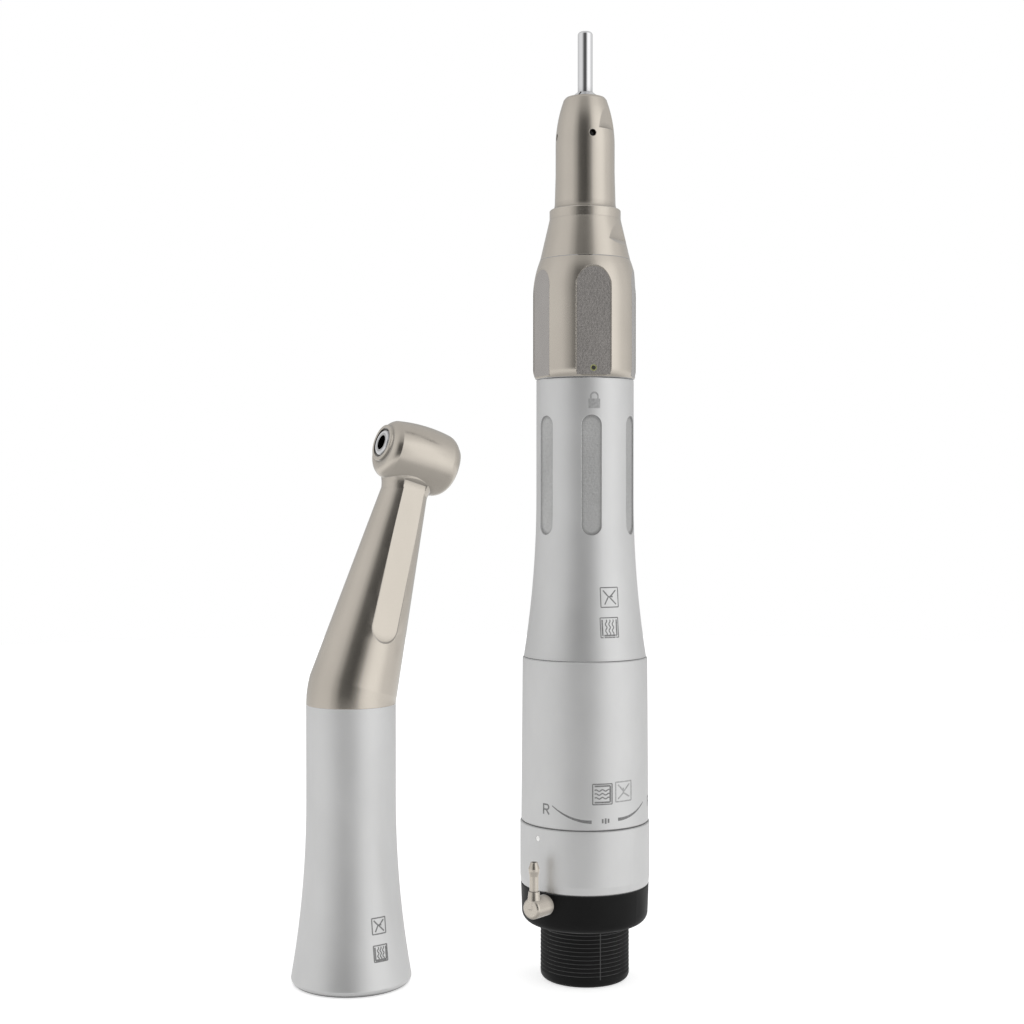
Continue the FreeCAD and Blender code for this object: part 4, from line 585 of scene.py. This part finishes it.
def swept_arc(start, end):
    """A tapering scale arc between two (azimuth, height) points, flat about its start."""
    reach = SCALE_RADIUS * math.radians(end[0] - start[0])
    rise = end[1] - start[1]
    falls = rise < 0
    quads = []
    for k in range(ARC_PARTS):
        pair = []
        for t in (k / ARC_PARTS, (k + 1) / ARC_PARTS):
            bow = 1 - (1 - t) ** 2 if falls else t * t
            width = ARC_THIN + ARC_SWELL * (t if falls else 1 - t)
            pair.append((reach * t, rise * bow, width / 2))
        (x0, y0, h0), (x1, y1, h1) = pair
        quads.append([(x0, y0 + h0), (x0, y0 - h0), (x1, y1 - h1), (x1, y1 + h1)])
    return quads


def make_motor_marks():
    """The direction scale, from R by the stop mark to F, and two pictograms above it."""
    motor = {"radius": sleeve_radius, "body": "motor"}
    wrapped("mark_reverse", letter_r(), -39, 28.1, material=ETCHED, **motor)
    wrapped("mark_arc_left", swept_arc((-32.6, 28.7), (3.4, 26.5)), -32.6, 28.7,
            material=ETCHED, **motor)
    wrapped("mark_stop", stop_mark(), 15.7, 26.6, material=ETCHED, **motor)
    wrapped("mark_arc_right", swept_arc((27.8, 26.7), (61, 28.6)), 27.8, 26.7,
            material=ETCHED, **motor)
    wrapped("mark_forward", letter_f(), 77, 28.3, material=ETCHED, **motor)
    wrapped("mark_box_waves", quarter_turn(waved_box(3.1)), 13, 30.7, material=ETCHED, **motor)
    wrapped("mark_box_lines", quarter_turn(crossed_box(3.0)), 34, 30.9, material=FAINT, **motor)


def make_sheath_marks():
    """Two pictograms on the flare and a padlock under the lock ring."""
    sheath = {"radius": sheath_radius, "body": "straight_handpiece"}
    wrapped("mark_sheath_lines", crossed_box(3.0), 24, 60.6, material=ETCHED, **sheath)
    wrapped("mark_sheath_waves", waved_box(3.0), 22.4, 56.0, material=ETCHED, **sheath)
    wrapped("mark_padlock", padlock(), 8, 90.9, material=FAINT, **sheath)


def make_contra_marks():
    """Two pictograms near the foot of the contra-angle."""
    contra = {"radius": contra_radius, "body": "contra_angle", "axis": CONTRA_AXIS}
    wrapped("mark_contra_lines", crossed_box(2.4), 37, 10.4, material=ETCHED, **contra)
    wrapped("mark_contra_waves", waved_box(2.4), 37, 6.3, material=ETCHED, **contra)


def disc_quads(radius, inner=0.0):
    """A ring or a disc as quads about the origin."""
    outside = arc(0, 0, radius, 0, 360, DISC_PARTS)
    inside = arc(0, 0, inner, 0, 360, DISC_PARTS)
    return [[inside[k], outside[k], outside[k + 1], inside[k + 1]]
            for k in range(DISC_PARTS)]


def make_paint():
    """The white index dot in its recess, the rim of the lock dimple, and a dark disc down in the
    dimple as painted shadow.
    """
    wrapped("index_dot_paint", disc_quads(DOT_RADIUS), DOT_AZIMUTH, DOT_HEIGHT,
            lambda z: RING_RADIUS - DOT_RECESS, WHITE_PAINT, "direction_ring")
    rim = disc_quads(DIMPLE_RIM, DIMPLE_RADIUS)
    flat_paint("lock_dimple_rim", rim, LOCK_FLAT_FLOOR, GREEN_PAINT)
    # A dark disc down in the dimple: painted shadow, where the hole lies in shade.
    flat_paint("lock_dimple_painted_shadow", disc_quads(DIMPLE_SHADOW_RADIUS),
               LOCK_FLAT_FLOOR - DIMPLE_DEPTH, DIMPLE_PAINTED_SHADOW)


def facing(azimuth):
    """The level direction at an azimuth."""
    turn = math.radians(azimuth)
    return Vector((math.sin(turn), -math.cos(turn), 0))


def flat_paint(name, quads, floor, material):
    """Paint on the lock ring's marked flat, which faces LOCK_FLAT_AZIMUTH."""
    paint = wrapped(name, quads, LOCK_FLAT_AZIMUTH, DIMPLE_HEIGHT, lambda z: floor,
                    material, "lock_ring")
    out = facing(LOCK_FLAT_AZIMUTH)
    for vertex in paint.data.vertices:
        vertex.co += out * ((floor + 2 * MARK_LIFT) * MM - vertex.co.dot(out))


def blasted_floor(name, azimuth, floor, outline, material, body):
    """The blasted floor of a flat, an (across, height) outline facing an azimuth."""
    out = facing(azimuth) * (floor + MARK_LIFT)
    side = facing(azimuth + 90)
    vertices = [(out + side * x + Vector((0, 0, z))) * MM for x, z in outline]
    patch = add_piece(name, vertices, [range(len(vertices))], material, body)
    patch.visible_glossy = False


def make_grip_floors():
    """The round-ended grip flats round the sheath."""
    outline = arc(0, GRIP_HIGH, GRIP_HALF, 0, 180) + arc(0, GRIP_LOW, GRIP_HALF, 180, 360)
    for k in range(GRIP_FLATS):
        blasted_floor(f"grip_floor_{k}", GRIP_AZIMUTH + 360 / GRIP_FLATS * k, GRIP_FLOOR,
                      outline, BLASTED_SILVER, "straight_handpiece")


def make_lock_floors():
    """The arched flats round the lock ring, the first one notched round its dimple."""
    top = arc(0, LOCK_FLAT_ARCH, LOCK_FLAT_HALF, 0, 180)
    left, right = (-LOCK_FLAT_HALF, LOCK_FLAT_LOW), (LOCK_FLAT_HALF, LOCK_FLAT_LOW)
    notch = [(-NOTCH_HALF, LOCK_FLAT_LOW), *arc(0, DIMPLE_HEIGHT, NOTCH_RADIUS, 264, -84),
             (NOTCH_HALF, LOCK_FLAT_LOW)]
    plain = [*top, left, right]
    dimpled = [*top, left, *notch, right]
    for k in range(LOCK_FLATS):
        blasted_floor(f"lock_floor_{k}", LOCK_FLAT_AZIMUTH + 360 / LOCK_FLATS * k,
                      LOCK_FLAT_FLOOR, plain if k else dimpled, BLASTED_TITAN, "lock_ring")


def make_moulding_line():
    """The faint line down the hose connector, where the halves of its mould met; drawn lighter
    than the plastic as a painted highlight along its ridge.
    """
    line = stroke([(0, 0), (0, MOULDING_LENGTH)], MOULDING_WIDTH)
    wrapped("moulding_line", line, MOULDING_AZIMUTH, MOULDING_LOW,
            lambda z: CONNECTOR_RADIUS, MOULDING_FLASH_AND_HIGHLIGHT, "motor")


make_camera()
make_world()
make_floor()
dress_nodes()
make_motor_marks()
make_sheath_marks()
make_contra_marks()
make_paint()
make_moulding_line()
make_grip_floors()
make_lock_floors()
bpy.context.scene.view_settings.view_transform = "Standard"
